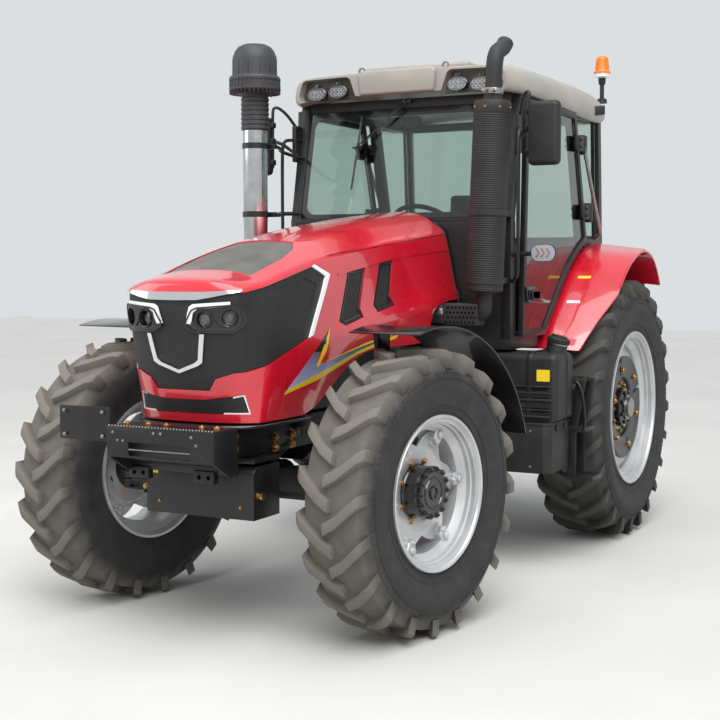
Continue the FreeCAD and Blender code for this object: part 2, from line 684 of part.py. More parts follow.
def make_toolbox():
    top = S.frame_bottom_z
    wide = S.toolbox_half_width
    low = top - S.toolbox_height
    front = S.toolbox_front_y
    rear = front + S.toolbox_length
    case = pad("toolbox_case", "YZ", [(front, low), (rear, low), (rear, top - 30),
                                      (front + 30, top - 30), (front, top - 60)], -wide, wide)
    tongue = box("toolbox_tongue", (-S.frame_half_width, S.frame_half_width),
                 (front + 60, rear - 30), (top - 30, top))
    node("front_toolbox", fuse("front_toolbox_shape", [case, tongue]))


def make_engine():
    """The engine as one block with its sump, and the case behind it that carries the cab."""
    wide = S.engine_half_width
    block = pad("engine_body", "YZ",
                [(S.engine_front_y, S.frame_top_z + 15), (S.engine_front_y, S.engine_top_z - 160),
                 (S.engine_front_y + 60, S.engine_top_z), (S.engine_rear_y - 60, S.engine_top_z),
                 (S.engine_rear_y, S.engine_top_z - 160), (S.engine_rear_y, S.sump_bottom_z + 40),
                 (S.engine_rear_y - 120, S.sump_bottom_z),
                 (FRONT_Y + S.axle_bowl_radius * 1.5 + 260, S.sump_bottom_z + 60),
                 (FRONT_Y + S.axle_bowl_radius * 1.5 + 120, S.frame_top_z + 15)], -wide, wide)
    inner = S.frame_half_width - S.frame_rail_width - 0.3
    narrow = box("engine_waist", (inner, wide + 20), (S.engine_front_y - 10, S.engine_rear_y + 10),
                 (0, S.frame_top_z + 0.3))
    other = mirrored("engine_waist_twin", narrow)
    waisted = cut("engine_waisted", block, fuse("engine_waists", [narrow, other]))
    node("engine_block", cut("engine_shape", waisted, axle_room("engine")))


def make_transmission():
    wide = S.gearbox_half_width
    front = S.engine_rear_y
    rear = S.rear_axle_y - 260
    case = pad("gearbox_body", "YZ",
               [(front, S.sump_bottom_z), (front, S.gearbox_top_z), (rear, S.gearbox_top_z),
                (rear, S.gearbox_bottom_z), (S.transfer_front_y, S.gearbox_bottom_z),
                (S.transfer_front_y, S.sump_bottom_z)], -wide, wide)
    ribs = []
    for i in range(4):
        y = front + 150 + 330 * i
        ribs.append(box(f"gearbox_rib_{i}", (-wide - 16, wide + 16), (y, y + 26),
                        (S.sump_bottom_z + 30, S.gearbox_top_z - 30)))
    pads = []
    for side in (1, -1):
        for y in (60, 900):
            x = (wide - 60, 380) if side == 1 else (-380, 60 - wide)
            pads.append(box(f"cab_mount_{side}_{y}", x, (y, y + 120),
                            (S.gearbox_top_z - 50, S.floor_z)))
    full = fuse("transmission_full", [case] + ribs + pads)
    node("transmission_case", cut("transmission_shape", full, axle_room("transmission")))


def make_rear_axle():
    z = S.rear_tyre_radius
    y = S.rear_axle_y
    wide = S.gearbox_half_width + 25
    case = pad("rear_case", "YZ",
               [(y - 260, S.gearbox_bottom_z), (y - 260, S.gearbox_top_z),
                (y + 250, S.gearbox_top_z), (y + 310, S.gearbox_top_z - 60), (y + 310, 640),
                (y + 200, S.gearbox_bottom_z)], -wide, wide)
    tube_end = S.rear_track_half + RIM_DISC["rear"] - HUB_BACK - S.seat_gap
    pieces = [case]
    for side in (1, -1):
        tube = turned(f"axle_tube_{side}", "XZ",
                      [(wide - 5, 0), (wide - 5, S.axle_tube_radius + 30),
                       (wide + 30, S.axle_tube_radius + 30), (wide + 30, S.axle_tube_radius),
                       (tube_end - 40, S.axle_tube_end_radius), (tube_end - 40, 128),
                       (tube_end, 128), (tube_end, 0)], "H_Axis")
        if side == -1:
            place(tube, 0, y, z)
            tube = mirrored("axle_tube_right", tube)
        else:
            place(tube, 0, y, z)
        pieces.append(tube)
    pin_y, pin_z = S.link_pin_y, S.link_pin_z
    shaft_y, shaft_z = S.rockshaft_y, S.rockshaft_z
    for side in (1, -1):
        pieces.append(pad(f"link_bracket_{side}", "YZ",
                          [(y + 180, 600), (pin_y - 30, pin_z - 45), (pin_y + 42, pin_z - 45),
                           (pin_y + 42, pin_z + 45), (y + 240, 760)],
                          *((165, 203) if side == 1 else (-203, -165))))
        pieces.append(pad(f"shaft_bracket_{side}", "YZ",
                          [(y + 240, shaft_z - 200), (shaft_y + 60, shaft_z - 60),
                           (shaft_y + 60, shaft_z + 60), (y + 240, shaft_z + 60)],
                          *((145, 185) if side == 1 else (-185, -145))))
    for x in ((-40, -24), (24, 40)):
        pieces.append(pad(f"top_link_ear_{x[0]}", "YZ",
                          [(y + 300, 900), (y + 390, 930), (y + 390, 1010), (y + 300, 1060)], *x))
    bores = [rod("rockshaft_bore", "X", 40.3, (-400, shaft_y, shaft_z), 800),
             rod("link_pin_bore", "X", 20.3, (-400, pin_y, pin_z), 800)]
    housing = fuse("rear_axle_shape", pieces)
    node("rear_axle_housing", cut("rear_axle_bored", housing, fuse("rear_bores", bores)))


# Hood sections from its nose seam to the cab:
# level y, lower edge z, half width there, widest z, half width there, crease z and half width,
# shoulder half width and z, top z in the middle.
HOOD = [
    (-2150, 1062, 345, 1400, 385, 1715, 350, 210, 1752, 1768),
    (-1740, 1062, 352, 1400, 400, 1818, 362, 230, 1868, 1890),
    (-1250, 1330, 378, 1520, 415, 1880, 362, 235, 1965, 1995),
    (S.hood_rear_y, 1372, 405, 1600, 425, 2000, 330, 215, 2092, 2128),
]
# Nose sections from its lower edge up:
# level z, half width of the flat front, front y, half width of the corner, corner y, half width
# at the seam.
NOSE = [
    (1062, 150, -2290, 290, -2215, 343),
    (1200, 160, -2345, 290, -2245, 358),
    (1400, 170, -2392, 300, -2300, 383),
    (1560, 170, -2372, 300, -2305, 370),
    (1686, 160, -2315, 300, -2288, 351),
]


def hood_body(name, inset):
    """The hood behind its nose seam, as a solid; inset makes the hollow inside it."""
    sections = []
    for i, row in enumerate(HOOD):
        y, low_z, low_x, wide_z, wide_x, crease_z, crease_x, shoulder_x, shoulder_z, top_z = row
        half = [(0.01, top_z - inset), (shoulder_x - inset, shoulder_z - inset),
                (crease_x - inset, crease_z - inset), (wide_x - inset, wide_z),
                (low_x - inset, low_z - (300 if number(inset) else 0))]
        if number(inset):
            y = y - 1 if i == 0 else (y + 1 if i == len(HOOD) - 1 else y)
        left = half[1:]
        right = [(-x, z) for x, z in reversed(left)]
        sections.append((y, [(0, top_z - inset)] + left + right))
    return lofted(name, "XZ", sections)


def hood_nose(name, inset):
    """The nose in front of the seam, through level sections."""
    seam = HOOD[0][0]
    sections = []
    for i, (z, flat, front, corner, corner_y, side) in enumerate(NOSE):
        if number(inset) > 0:
            z = z - 200 if i == 0 else (z - inset if i == len(NOSE) - 1 else z)
        half = [(flat - inset * 0.3, front + inset), (corner - inset, corner_y + inset),
                (side - inset, seam)]
        sections.append((z, both_sides([(-x, y) for x, y in half][::-1])))
    return lofted(name, "XY", sections)


def hood_cap(name, inset):
    """The sloping top over the nose, from the lip to the seam."""
    top = NOSE[-1][0]
    y, crease_z, crease_x, shoulder_x, shoulder_z, top_z = (HOOD[0][i] for i in (0, 5, 6, 7, 8, 9))
    low = top - (inset + 30 if number(inset) else 0)
    front = [(0, top + 14 - inset), (120, top + 12 - inset), (155, top + 8 - inset), (155, low)]
    rear = [(0, top_z - inset), (shoulder_x - inset, shoulder_z - inset),
            (crease_x - inset, crease_z - inset), (crease_x - inset, low)]
    mid = [(0, top + 26 - inset), (170, top + 22 - inset), (298 - inset, top + 10 - inset),
           (298 - inset, low)]
    rows = [(NOSE[-1][2] + inset, front), (NOSE[-1][4] + inset, mid), (y, rear)]
    sections = [(level, half + [(-x, z) for x, z in reversed(half[1:])]) for level, half in rows]
    return lofted(name, "XZ", sections)


def make_hood():
    """One-piece hood: red shell, dark grilles let into it, four lamps and bright trim."""
    wall = S.hood_wall
    outer = fuse("hood_outer", [hood_body("hood_solid", 0), hood_nose("nose_solid", 0),
                                hood_cap("cap_solid", 0)])
    hollow = fuse("hood_hollow", [hood_body("hood_inside", wall), hood_nose("nose_inside", wall),
                                  hood_cap("cap_inside", wall)])
    shell = cut("hood_skin", outer, hollow)
    relief_left = pad("exhaust_relief", "YZ",
                      [(-432, 1200), (-432, 1470), (-405, 1535), (-330, 1570), (-200, 1590),
                       (-40, 1600), (-40, 1200)], 250, 600)
    relief_right = pad("intake_relief", "YZ",
                       [(-620, 1200), (-620, 1480), (-590, 1545), (-500, 1580), (-200, 1590),
                        (-40, 1600), (-40, 1200)], -600, -250)
    relief = fuse("hood_reliefs", [relief_left, relief_right])
    mask = pad("mask_window", "YZ",
               [(-2500, 1262), (-2380, 1262), (-2320, 1290), (-2183, 1322), (-1784, 1450),
                (-1650, 1660), (-1592, 1755), (-1705, 1797), (-2145, 1692), (-2282, 1664),
                (-2500, 1664)], -600, 600)
    grille = pad("grille_window", "XZ", both_sides([(282, 1192), (296, 1104)]), -2500, -2160)
    vent = pad("vent_window", "XY",
               [(-255, -2120), (255, -2120), (255, -1790), (165, -1560), (-165, -1560),
                (-255, -1790)], 1700, 2100)
    slots = []
    for name, points in (("fore", [(-1295, 1780), (-1085, 1800), (-1175, 1545), (-1280, 1500),
                                   (-1400, 1535)]),
                         ("aft", [(-938, 1815), (-780, 1835), (-800, 1620), (-890, 1560),
                                  (-1000, 1590)])):
        slots.append(pad(f"side_vent_{name}", "YZ", points, -600, 600))
    windows = fuse("hood_windows", [mask, grille, vent] + slots)
    lamps = []
    for side in (1, -1):
        for x, y, z in ((170, -2388, 1548), (268, -2345, 1556)):
            lamps.append(rod(f"lamp_{side}_{x}", "Y", 36, (x * side, y, z), 95))
    lamp_set = fuse("lamp_cutters", lamps)
    red = cut("hood_open", cut("hood_clear", shell, windows), relief)
    lugs = []
    for side in (1, -1):
        x = (70, 90) if side == 1 else (-90, -70)
        lug = fuse(f"hood_lug_{side}", [
            rod(f"hood_eye_{side}", "X", 22, (x[0], S.hood_hinge_y, S.hood_hinge_z), 20),
            box(f"hood_lug_web_{side}", x, (S.hood_hinge_y - 60, S.hood_hinge_y + 2),
                (S.hood_hinge_z, S.hood_hinge_z + 26))])
        lugs.append(cut(f"hood_lug_bored_{side}", lug,
                        rod(f"hood_eye_bore_{side}", "X", S.hood_pin_radius + S.seat_gap,
                            (x[0] - 5, S.hood_hinge_y, S.hood_hinge_z), 30)))
    node("hood_shell", fuse("hood_with_lugs", [red] + lugs))
    node("hood_grilles", cut("grilles_shape", common("grilles_full", shell, windows), lamp_set))
    node("headlamps", group("headlamps_group", lamps))
    proud = cut("nose_skin", hood_nose("nose_trim_solid", -7), hood_nose("nose_trim_core", 0))
    shape_u = pad("trim_u", "XZ",
                  [(-165, 1482), (-138, 1350), (0, 1300), (138, 1350), (165, 1482), (148, 1482),
                   (122, 1364), (0, 1318), (-122, 1364), (-148, 1482)], -2500, -2200)
    strip = pad("trim_lip", "XZ", both_sides([(318, 1682), (318, 1666), (120, 1650)]),
                -2500, -2200)
    trim = common("nose_trim_shape", proud, fuse("trim_outline", [shape_u, strip]))
    node("nose_trim", trim)


def make_exhaust():
    """Elbow out of the engine, upright muffler beside the cab, and the tail pipe."""
    x, y = S.muffler_x, S.muffler_y
    body = rod("muffler", "Z", S.muffler_radius, (x, y, S.muffler_bottom_z),
               S.muffler_top_z - S.muffler_bottom_z)
    lower = cone("muffler_foot", "Z", (55, S.muffler_radius),
                 (x, y, S.muffler_bottom_z - S.muffler_end), S.muffler_end)
    upper = cone("muffler_head", "Z", (S.muffler_radius, S.tailpipe_radius),
                 (x, y, S.muffler_top_z), S.muffler_end)
    elbow_z = S.muffler_bottom_z - 135
    down = rod("elbow_up", "Z", 48, (x, y, elbow_z), 130)
    joint = doc.addObject("Part::Sphere", "elbow_joint")
    bind(joint, "Radius", 52)
    place(joint, x, y, elbow_z)
    across = rod("elbow_across", "X", 48, (S.engine_half_width, y, elbow_z),
                 x - S.engine_half_width)
    guard = box("exhaust_guard", (460, x - 30), (y - 62, y + 62), (elbow_z - 62, elbow_z + 62))
    stub = rod("tail_straight", "Z", S.tailpipe_radius, (x, y, S.muffler_top_z + 5), 175)
    tail = doc.addObject("Part::Cylinder", "tail_bent")
    bind(tail, "Radius", S.tailpipe_radius)
    bind(tail, "Height", 255)
    place(tail, x, y, S.muffler_top_z + 160, turn=((1, 0, 0), -42))
    bend = doc.addObject("Part::Sphere", "tail_bend")
    bind(bend, "Radius", S.tailpipe_radius)
    place(bend, x, y, S.muffler_top_z + 168)
    strut = box("muffler_strut", (x - 60, x + 60), (y + S.muffler_radius - 20, S.cab_front_y),
                (2080, 2120))
    strut_low = box("muffler_strut_low", (x - 40, x + 40), (y + 40, S.cab_front_y),
                    (1690, 1730))
    node("exhaust", fuse("exhaust_shape", [body, lower, upper, down, joint, across, guard, stub,
                                           tail, bend, strut, strut_low]))


def make_intake():
    """Upright air intake on the right with its dome."""
    x, y = S.intake_x, S.intake_y
    tube = rod("intake_tube", "Z", S.intake_radius, (x, y, S.duct_z), 2710 - S.duct_z)
    collar = rod("intake_collar", "Z", S.intake_radius + 14, (x, y, 2700), 120)
    dome = turned("intake_dome", "XZ",
                  [(0, 0), (S.intake_radius + 6, 0), (S.precleaner_radius, 30),
                   (S.precleaner_radius, 95), (S.precleaner_radius - 20, 110),
                   (S.precleaner_radius - 20, 215), (S.precleaner_radius - 50, 275),
                   (S.precleaner_radius - 100, 305), (0, 310)], "V_Axis")
    place(dome, x, y, 2815)
    duct = rod("intake_duct", "X", 60, (x, y, S.duct_z), -x - S.engine_half_width)
    foot = doc.addObject("Part::Sphere", "intake_foot")
    bind(foot, "Radius", S.intake_radius)
    place(foot, x, y, S.duct_z)
    strut = box("intake_strut", (x - 30, x + 30), (y + 40, S.cab_front_y), (2110, 2150))
    node("air_intake", fuse("air_intake_shape", [tube, collar, dome, duct, foot, strut]))


def make_tank():
    front, rear = S.tank_front_y, S.tank_front_y + S.tank_length
    low, top = S.tank_bottom_z, S.tank_top_z
    body = doc.addObject("PartDesign::Body", "tank_body")
    outline = draw(body, "XZ", [(S.tank_inner_x, low), (S.tank_outer_x, low),
                                (S.tank_outer_x, top), (S.tank_inner_x, top)], rear)
    feature = body.newObject("PartDesign::Pad", "tank_pad")
    feature.Profile = outline
    bind(feature, "Length", S.tank_length)
    doc.recompute()
    smooth = body.newObject("PartDesign::Fillet", "tank_rounding")
    edges = [f"Edge{i + 1}" for i, edge in enumerate(feature.Shape.Edges)
             if edge.CenterOfMass.x > number(S.tank_outer_x) - 5
             or edge.CenterOfMass.z > number(top) - 5]
    smooth.Base = (feature, edges)
    smooth.Radius = 45
    grooves = []
    for i in range(3):
        z = low + 60 + 62 * i
        grooves.append(box(f"tank_groove_{i}", (S.tank_inner_x + 60, S.tank_outer_x - 60),
                           (front - 20, front + 14), (z, z + 24)))
    neck = doc.addObject("Part::Cylinder", "filler_neck")
    bind(neck, "Radius", S.neck_radius)
    bind(neck, "Height", S.neck_height)
    place(neck, S.tank_outer_x - 95, rear - 90, top - 30, turn=((0, 1, 0), 14))
    shell = cut("tank_grooved", body, fuse("tank_grooves", grooves))
    inner_arm = box("tank_arm", (S.gearbox_half_width, S.tank_inner_x + 10),
                    (front + 60, rear - 60), (low + 60, low + 140))
    node("fuel_tank", fuse("fuel_tank_shape", [shell, neck, inner_arm]))
    battery = pad("battery_case", "XY",
                  [(S.tank_inner_x + 60, front - 30), (S.battery_outer_x - 40, front - 30),
                   (S.battery_outer_x, front + 10), (S.battery_outer_x, rear),
                   (S.tank_inner_x + 60, rear)], low - S.battery_height, low)
    node("battery_box", battery)


def make_steps():
    """A three-tread ladder on each side, between the tank and the rear wheel."""
    y = S.tank_front_y + S.tank_length
    ladder = []
    for i, (outer, z) in enumerate(((1165, 505), (1120, 800), (1080, 1090))):
        inner = outer - S.step_width if i == 0 else 800
        ladder.append(box(f"tread_{i}", (inner, outer), (y + 12, y + 12 + S.step_depth),
                          (z, z + 26)))
    for j, offset in enumerate((12, S.step_depth + 4)):
        points = [(1120, 1116), (1060, 1116), (1000, 800), (1000, 505), (1060, 505), (1060, 790)]
        ladder.append(pad(f"step_hanger_{j}", "XZ", points, y + offset, y + offset + 8))
    ladder.append(box("step_arm", (S.gearbox_half_width + 0.3, 820), (y + 40, y + 120),
                      (1095, 1135)))
    left = fuse("steps_left", ladder)
    node("steps", group("steps_group", [left, mirrored("steps_right", left)]))


# Door hinges from top to bottom: y, z. Their pins lie on one line that leans forward.
HINGES = ((1092, 2592), (1231, 2151))
HINGE_LEAN = math.degrees(math.atan2(HINGES[1][0] - HINGES[0][0], HINGES[0][1] - HINGES[1][1]))
HINGE_OUT = 6


def along_hinge(name, radius, x, y, z, start, length):
    """A round bar on a door's hinge line, from a start along it counted from the point given."""
    lean = math.radians(HINGE_LEAN)
    return rod(name, "Z", radius, (x, y - start * math.sin(lean), z + start * math.cos(lean)),
               length, turn=((1, 0, 0), HINGE_LEAN))


def make_cab():
    """Cab: floor with its firewall, posts and rails, roof, panes, seat and controls."""
    wide, post = S.cab_half_width, S.post_width
    front, rear = S.cab_front_y, S.cab_rear_y
    top = S.post_top_z
    floor_top = S.floor_z + S.floor_thickness
    well = S.fender_inner_x - 0.3
    floor = pad("floor_plate", "XY", both_sides([(wide, front), (wide, 430), (well, 430),
                                                 (well, rear)]), S.floor_z, floor_top)
    firewall = box("firewall", (post + 0.3 - wide, wide - post - 0.3), (front, front + 40),
                   (floor_top, S.sill_z))
    rear_wall = box("rear_wall", (-well, well), (rear - 40, rear), (floor_top, 1961))
    hood_mounts = []
    hinge_y, hinge_z = S.hood_hinge_y, S.hood_hinge_z
    reach = S.hood_ear_reach
    for side in (1, -1):
        for x in ((58, 68), (92, 102)):
            ear = x if side == 1 else (-x[1], -x[0])
            hood_mounts.append(pad(f"hood_ear_{side}_{x[0]}", "YZ",
                                   [(front, 1990), (front, 2059.7), (hinge_y + reach, hinge_z + reach),
                                    (hinge_y - reach, hinge_z + reach),
                                    (hinge_y - reach, hinge_z - reach)],
                                   *ear))
        hood_mounts.append(rod(f"hood_pin_{side}", "X", S.hood_pin_radius,
                               (60 if side == 1 else -100, hinge_y, hinge_z), 40))
    side_panels = []
    for side in (1, -1):
        span = (wide - 20, wide) if side == 1 else (-wide, 20 - wide)
        side_panels.append(pad(f"side_panel_{side}", "YZ",
                               [(1300, 1918), (1430, 1951), (1640, 1906), (rear, 1866),
                                (rear, 1960.7), (1300, 1960.7)], span[0], span[1]))
    node("cab_floor", group("cab_floor_group",
                            [fuse("floor_and_walls", [floor, firewall, rear_wall] + hood_mounts)]
                            + side_panels))
    posts = []
    for side in (1, -1):
        span = (wide - post, wide) if side == 1 else (-wide, post - wide)
        outlines = {
            "a": [(front, S.sill_z), (front + post, S.sill_z), (110 + post, top), (110, top)],
            "c": [(1250, 1990), (1320, 1990), (1100, top), (1030, top)],
            "d": [(rear - 60, 1961), (rear, 1961), (rear - 60, top), (rear - 120, top)],
        }
        for key, points in outlines.items():
            posts.append(pad(f"post_{key}_{side}", "YZ", points, span[0], span[1]))
        posts.append(pad(f"door_sill_{side}", "YZ",
                         [(front, 1360.3), (440, 1360.3), (600, 1486), (745, 1610), (930, 1768),
                          (1150, 1900), (1290, 1962), (1290, 1998), (1140, 1940), (905, 1806),
                          (720, 1648), (575, 1522), (430, 1398), (front, 1398)],
                         span[0], span[1]))
        posts.append(pad(f"post_a_low_{side}", "YZ",
                         [(front, 1398), (front + 90, 1398), (front + 70, S.sill_z),
                          (front, S.sill_z)], span[0], span[1]))
        pin_x = (wide + S.door_gap + S.door_thickness + HINGE_OUT) * side
        for i, (y, z) in enumerate(HINGES):
            posts.append(along_hinge(f"hinge_pin_{side}_{i}", S.hinge_pin_radius, pin_x, y, z,
                                     -44, 88))
            for start in (-44, 28):
                posts.append(along_hinge(f"hinge_ear_{side}_{i}_{start}", 14, pin_x, y, z, start,
                                         16))
            reach = (wide - 5, wide + 50) if side == 1 else (-wide - 50, 5 - wide)
            tip = (wide + 34, wide + 52) if side == 1 else (-wide - 52, -wide - 34)
            posts.append(box(f"hinge_spine_{side}_{i}", reach, (y + 30, y + 46), (z - 42, z + 42)))
            posts.append(box(f"hinge_top_{side}_{i}", tip, (y - 10, y + 40), (z + 29, z + 41)))
            posts.append(box(f"hinge_foot_{side}_{i}", tip, (y + 8, y + 40), (z - 41, z - 29)))
        posts.append(box(f"waist_{side}", span, (1250, rear), (1961, 1999)))
        posts.append(box(f"roof_rail_{side}", span, (110, rear - 60), (top - 55, top)))
    posts.append(box("head_front", (-wide, wide), (110, 110 + post), (top - 55, top)))
    posts.append(box("head_rear", (-wide, wide), (rear - 120, rear - 60), (top - 55, top)))
    posts.append(box("sill_front", (-wide, wide), (front, front + 40), (S.sill_z, S.sill_z + 30)))
    posts.append(box("sill_rear", (-wide, wide), (rear - 40, rear), (1961, 1999)))
    node("cab_frame", fuse("cab_frame_shape", posts))
    make_roof(top)
    pane = S.glass_thickness
    inside = wide - post
    screen = pad("screen_pane", "YZ",
                 [(front + 10, S.sill_z + 30.5), (front + 10 + pane, S.sill_z + 30.5),
                  (122 + pane, top - 55.5), (122, top - 55.5)], -inside + 0.5, inside - 0.5)
    node("windscreen", screen)
    panes = []
    for side in (1, -1):
        x = (wide - 34, wide - 34 + pane) if side == 1 else (34 - wide - pane, 34 - wide)
        panes.append(pad(f"quarter_pane_{side}", "YZ",
                         [(1322, 1999.3), (rear - 64, 1999.3), (rear - 120, top - 55.3),
                          (1118, top - 55.3)], x[0], x[1]))
    panes.append(pad("rear_pane", "YZ",
                     [(rear - 20, 2000), (rear - 14, 2000), (rear - 74, top - 56),
                      (rear - 80, top - 56)], -inside + 0.5, inside - 0.5))
    node("cab_windows", group("cab_windows_group", panes))
    make_interior(floor_top)


def make_roof(base):
    """Roof moulding: an overhanging cap with a raised middle and a brow for the work lamps."""
    post = S.cab_half_width
    wide = post + S.roof_overhang
    levels = [
        (base + 0.3, post - 20, 60, 1600),
        (base + 45, wide, -10, 1760),
        (base + 150, wide, -30, 1800),
        (S.roof_top_z, post - 190, 200, 1500),
    ]
    sections = [(z, [(-w, f), (w, f), (w, r), (-w, r)]) for z, w, f, r in levels]
    cap = lofted("roof_cap", "XY", sections)
    hollow = lofted("roof_hollow", "XY",
                    [(z, [(-w, f), (w, f), (w, r), (-w, r)])
                     for z, w, f, r in ((base - 20, post - 60, 110, 1540),
                                        (base + 120, post - 110, 160, 1480))])
    lamps = []
    lamp_x = post - S.roof_lamp_inset
    for side in (1, -1):
        for i in range(2):
            lamps.append(rod(f"work_lamp_{side}_{i}", "Y", 48,
                             ((lamp_x - S.roof_lamp_pitch * i) * side, -62, base + 88), 60))
        lamps.append(rod(f"rear_lamp_{side}", "Y", 48, (lamp_x * side, 1765, base + 88), 60))
    lamp_set = group("roof_lamps_group", lamps)
    node("roof_lamps", lamp_set)
    roof = cut("cab_roof_shape", cut("cab_roof_shell", cap, hollow), lamp_set)
    node("cab_roof", roof)
    beacon_x = post - 10
    stem = rod("beacon_stem", "Z", 14, (beacon_x, 1690, base + 120), 160)
    base_disc = rod("beacon_base", "Z", 62, (beacon_x, 1690, base + 270), 40)
    dome = turned("beacon_dome", "XZ", [(0, 0), (55, 0), (50, 80), (36, 105), (0, 112)], "V_Axis")
    place(dome, beacon_x, 1690, base + 305)
    node("beacon", cut("beacon_shape", fuse("beacon_full", [stem, base_disc, dome]), cap))


def make_interior(floor_top):
    seat_y = 980
    half = S.seat_width / 2
    base = turned("seat_base", "XZ",
                  [(0, 0), (210, 0), (210, 60), (130, 100), (130, 260), (200, 300), (0, 300)],
                  "V_Axis")
    place(base, 0, seat_y, floor_top)
    console = pad("console", "YZ",
                  [(20, floor_top), (300, floor_top), (250, floor_top + 420), (120, floor_top + 640),
                   (20, floor_top + 640)], -170, 170)
    column = doc.addObject("Part::Cylinder", "steering_column")
    bind(column, "Radius", 32)
    bind(column, "Height", S.column_length - 18 - S.seat_gap)
    place(column, 0, 215, floor_top + 470, turn=((1, 0, 0), -35))
    side_box = box("side_console", (half + 20, half + 190), (740, 1350), (floor_top, floor_top + 480))
    node("cab_interior", group("cab_interior_group",
                               [base, fuse("console_set", [console, column]), side_box]))
    cushion = pad("cushion", "YZ",
                  [(seat_y - 260, floor_top + 300 + S.seat_gap),
                   (seat_y + 250, floor_top + 300 + S.seat_gap),
                   (seat_y + 340, floor_top + 960), (seat_y + 210, floor_top + 960),
                   (seat_y + 130, floor_top + 440), (seat_y - 260, floor_top + 430)], -half, half)
    node("seat_cushion", cushion)
    tilt = ((1, 0, 0), -35)
    ring = doc.addObject("Part::Torus", "steering_rim")
    bind(ring, "Radius1", S.steering_wheel_radius)
    bind(ring, "Radius2", 15)
    hub = doc.addObject("Part::Cylinder", "steering_hub")
    bind(hub, "Radius", 45)
    bind(hub, "Height", 36)
    place(hub, 0, 0, -18)
    spokes = []
    for i in range(3):
        angle = 90 + 120 * i
        spoke = doc.addObject("Part::Box", f"steering_spoke_{i}")
        bind(spoke, "Length", S.steering_wheel_radius - 20)
        bind(spoke, "Width", 30)
        bind(spoke, "Height", 12)
        turn = Rotation(Vector(0, 0, 1), angle)
        corner = turn.multVec(Vector(20, -15, -6))
        spoke.Placement = FreeCAD.Placement(corner, turn)
        spokes.append(spoke)
    steering = fuse("steering_wheel_shape", [ring, hub] + spokes)
    reach = number(S.column_length)
    node("steering_wheel",
         place(steering, 0, 215 + reach * math.sin(math.radians(35)),
               floor_top + 470 + reach * math.cos(math.radians(35)), turn=tilt))


DOOR = [(62, 1372), (450, 1372), (590, 1492), (735, 1622), (920, 1784), (1130, 1910),
        (1250, 1958), (1238, 2010), (1008, 2790), (122, 2790)]


def make_doors():
    """Rear-hinged doors: a frame round one pane, with a latch at its front edge."""
    near = S.cab_half_width + S.door_gap
    far = near + S.door_thickness
    rail = number(S.door_rail_width)
    outline = [Vector(y, z, 0) for y, z in DOOR]
    wire = Part.makePolygon(outline + outline[:1])
    inner = wire.makeOffset2D(-rail)
    corners = [(v.X, v.Y) for v in inner.OrderedVertexes]
    for side, word in ((1, "left"), (-1, "right")):
        span = (near, far) if side == 1 else (-far, -near)
        plate = pad(f"door_plate_{word}", "YZ", DOOR, span[0], span[1])
        hole = pad(f"door_hole_{word}", "YZ", corners, span[0] - 10, span[1] + 10)
        knob_x = (far - 2, far + 40) if side == 1 else (-far - 40, 2 - far)
        handle = box(f"door_handle_{word}", knob_x, (130, 250), (1590, 1650))
        hinges, bores = [], []
        pin_x = (far + HINGE_OUT) * side
        for i, (y, z) in enumerate(HINGES):
            leaf = (far - 10, far + 12) if side == 1 else (-far - 12, 10 - far)
            hinges.append(box(f"door_leaf_{word}_{i}", leaf, (y - 100, y - 4), (z - 20, z + 20)))
            hinges.append(along_hinge(f"door_knuckle_{word}_{i}", 16, pin_x, y, z, -24, 48))
            bores.append(along_hinge(f"door_bore_{word}_{i}", S.hinge_pin_radius + S.seat_gap,
                                     pin_x, y, z, -30, 60))
        lock = box(f"door_lock_{word}", span, (100, 260), (1560, 1680))
        frame = fuse(f"door_{word}_solid",
                     [cut(f"door_ring_{word}", plate, hole), handle, lock] + hinges)
        node(f"door_{word}", cut(f"door_{word}_shape", frame, fuse(f"door_bores_{word}", bores)))
        middle = (span[0] + span[1]) * 0.5
        pane_full = pad(f"door_pane_{word}", "YZ", corners, middle - S.glass_thickness / 2,
                        middle + S.glass_thickness / 2)
        lock_cut = box(f"door_lock_cut_{word}", (span[0] - 5, span[1] + 5), (100, 260), (1560, 1680))
        node(f"door_glass_{word}", cut(f"door_glass_{word}_shape", pane_full, lock_cut))


# A rear fender from its front foot over the wheel: y, z of the sheet's outer face.
ARCH = [(440, 1285), (610, 1462), (760, 1592), (945, 1748), (1160, 1875), (1430, 1950),
        (1640, 1905), (1780, 1800), (1850, 1700)]


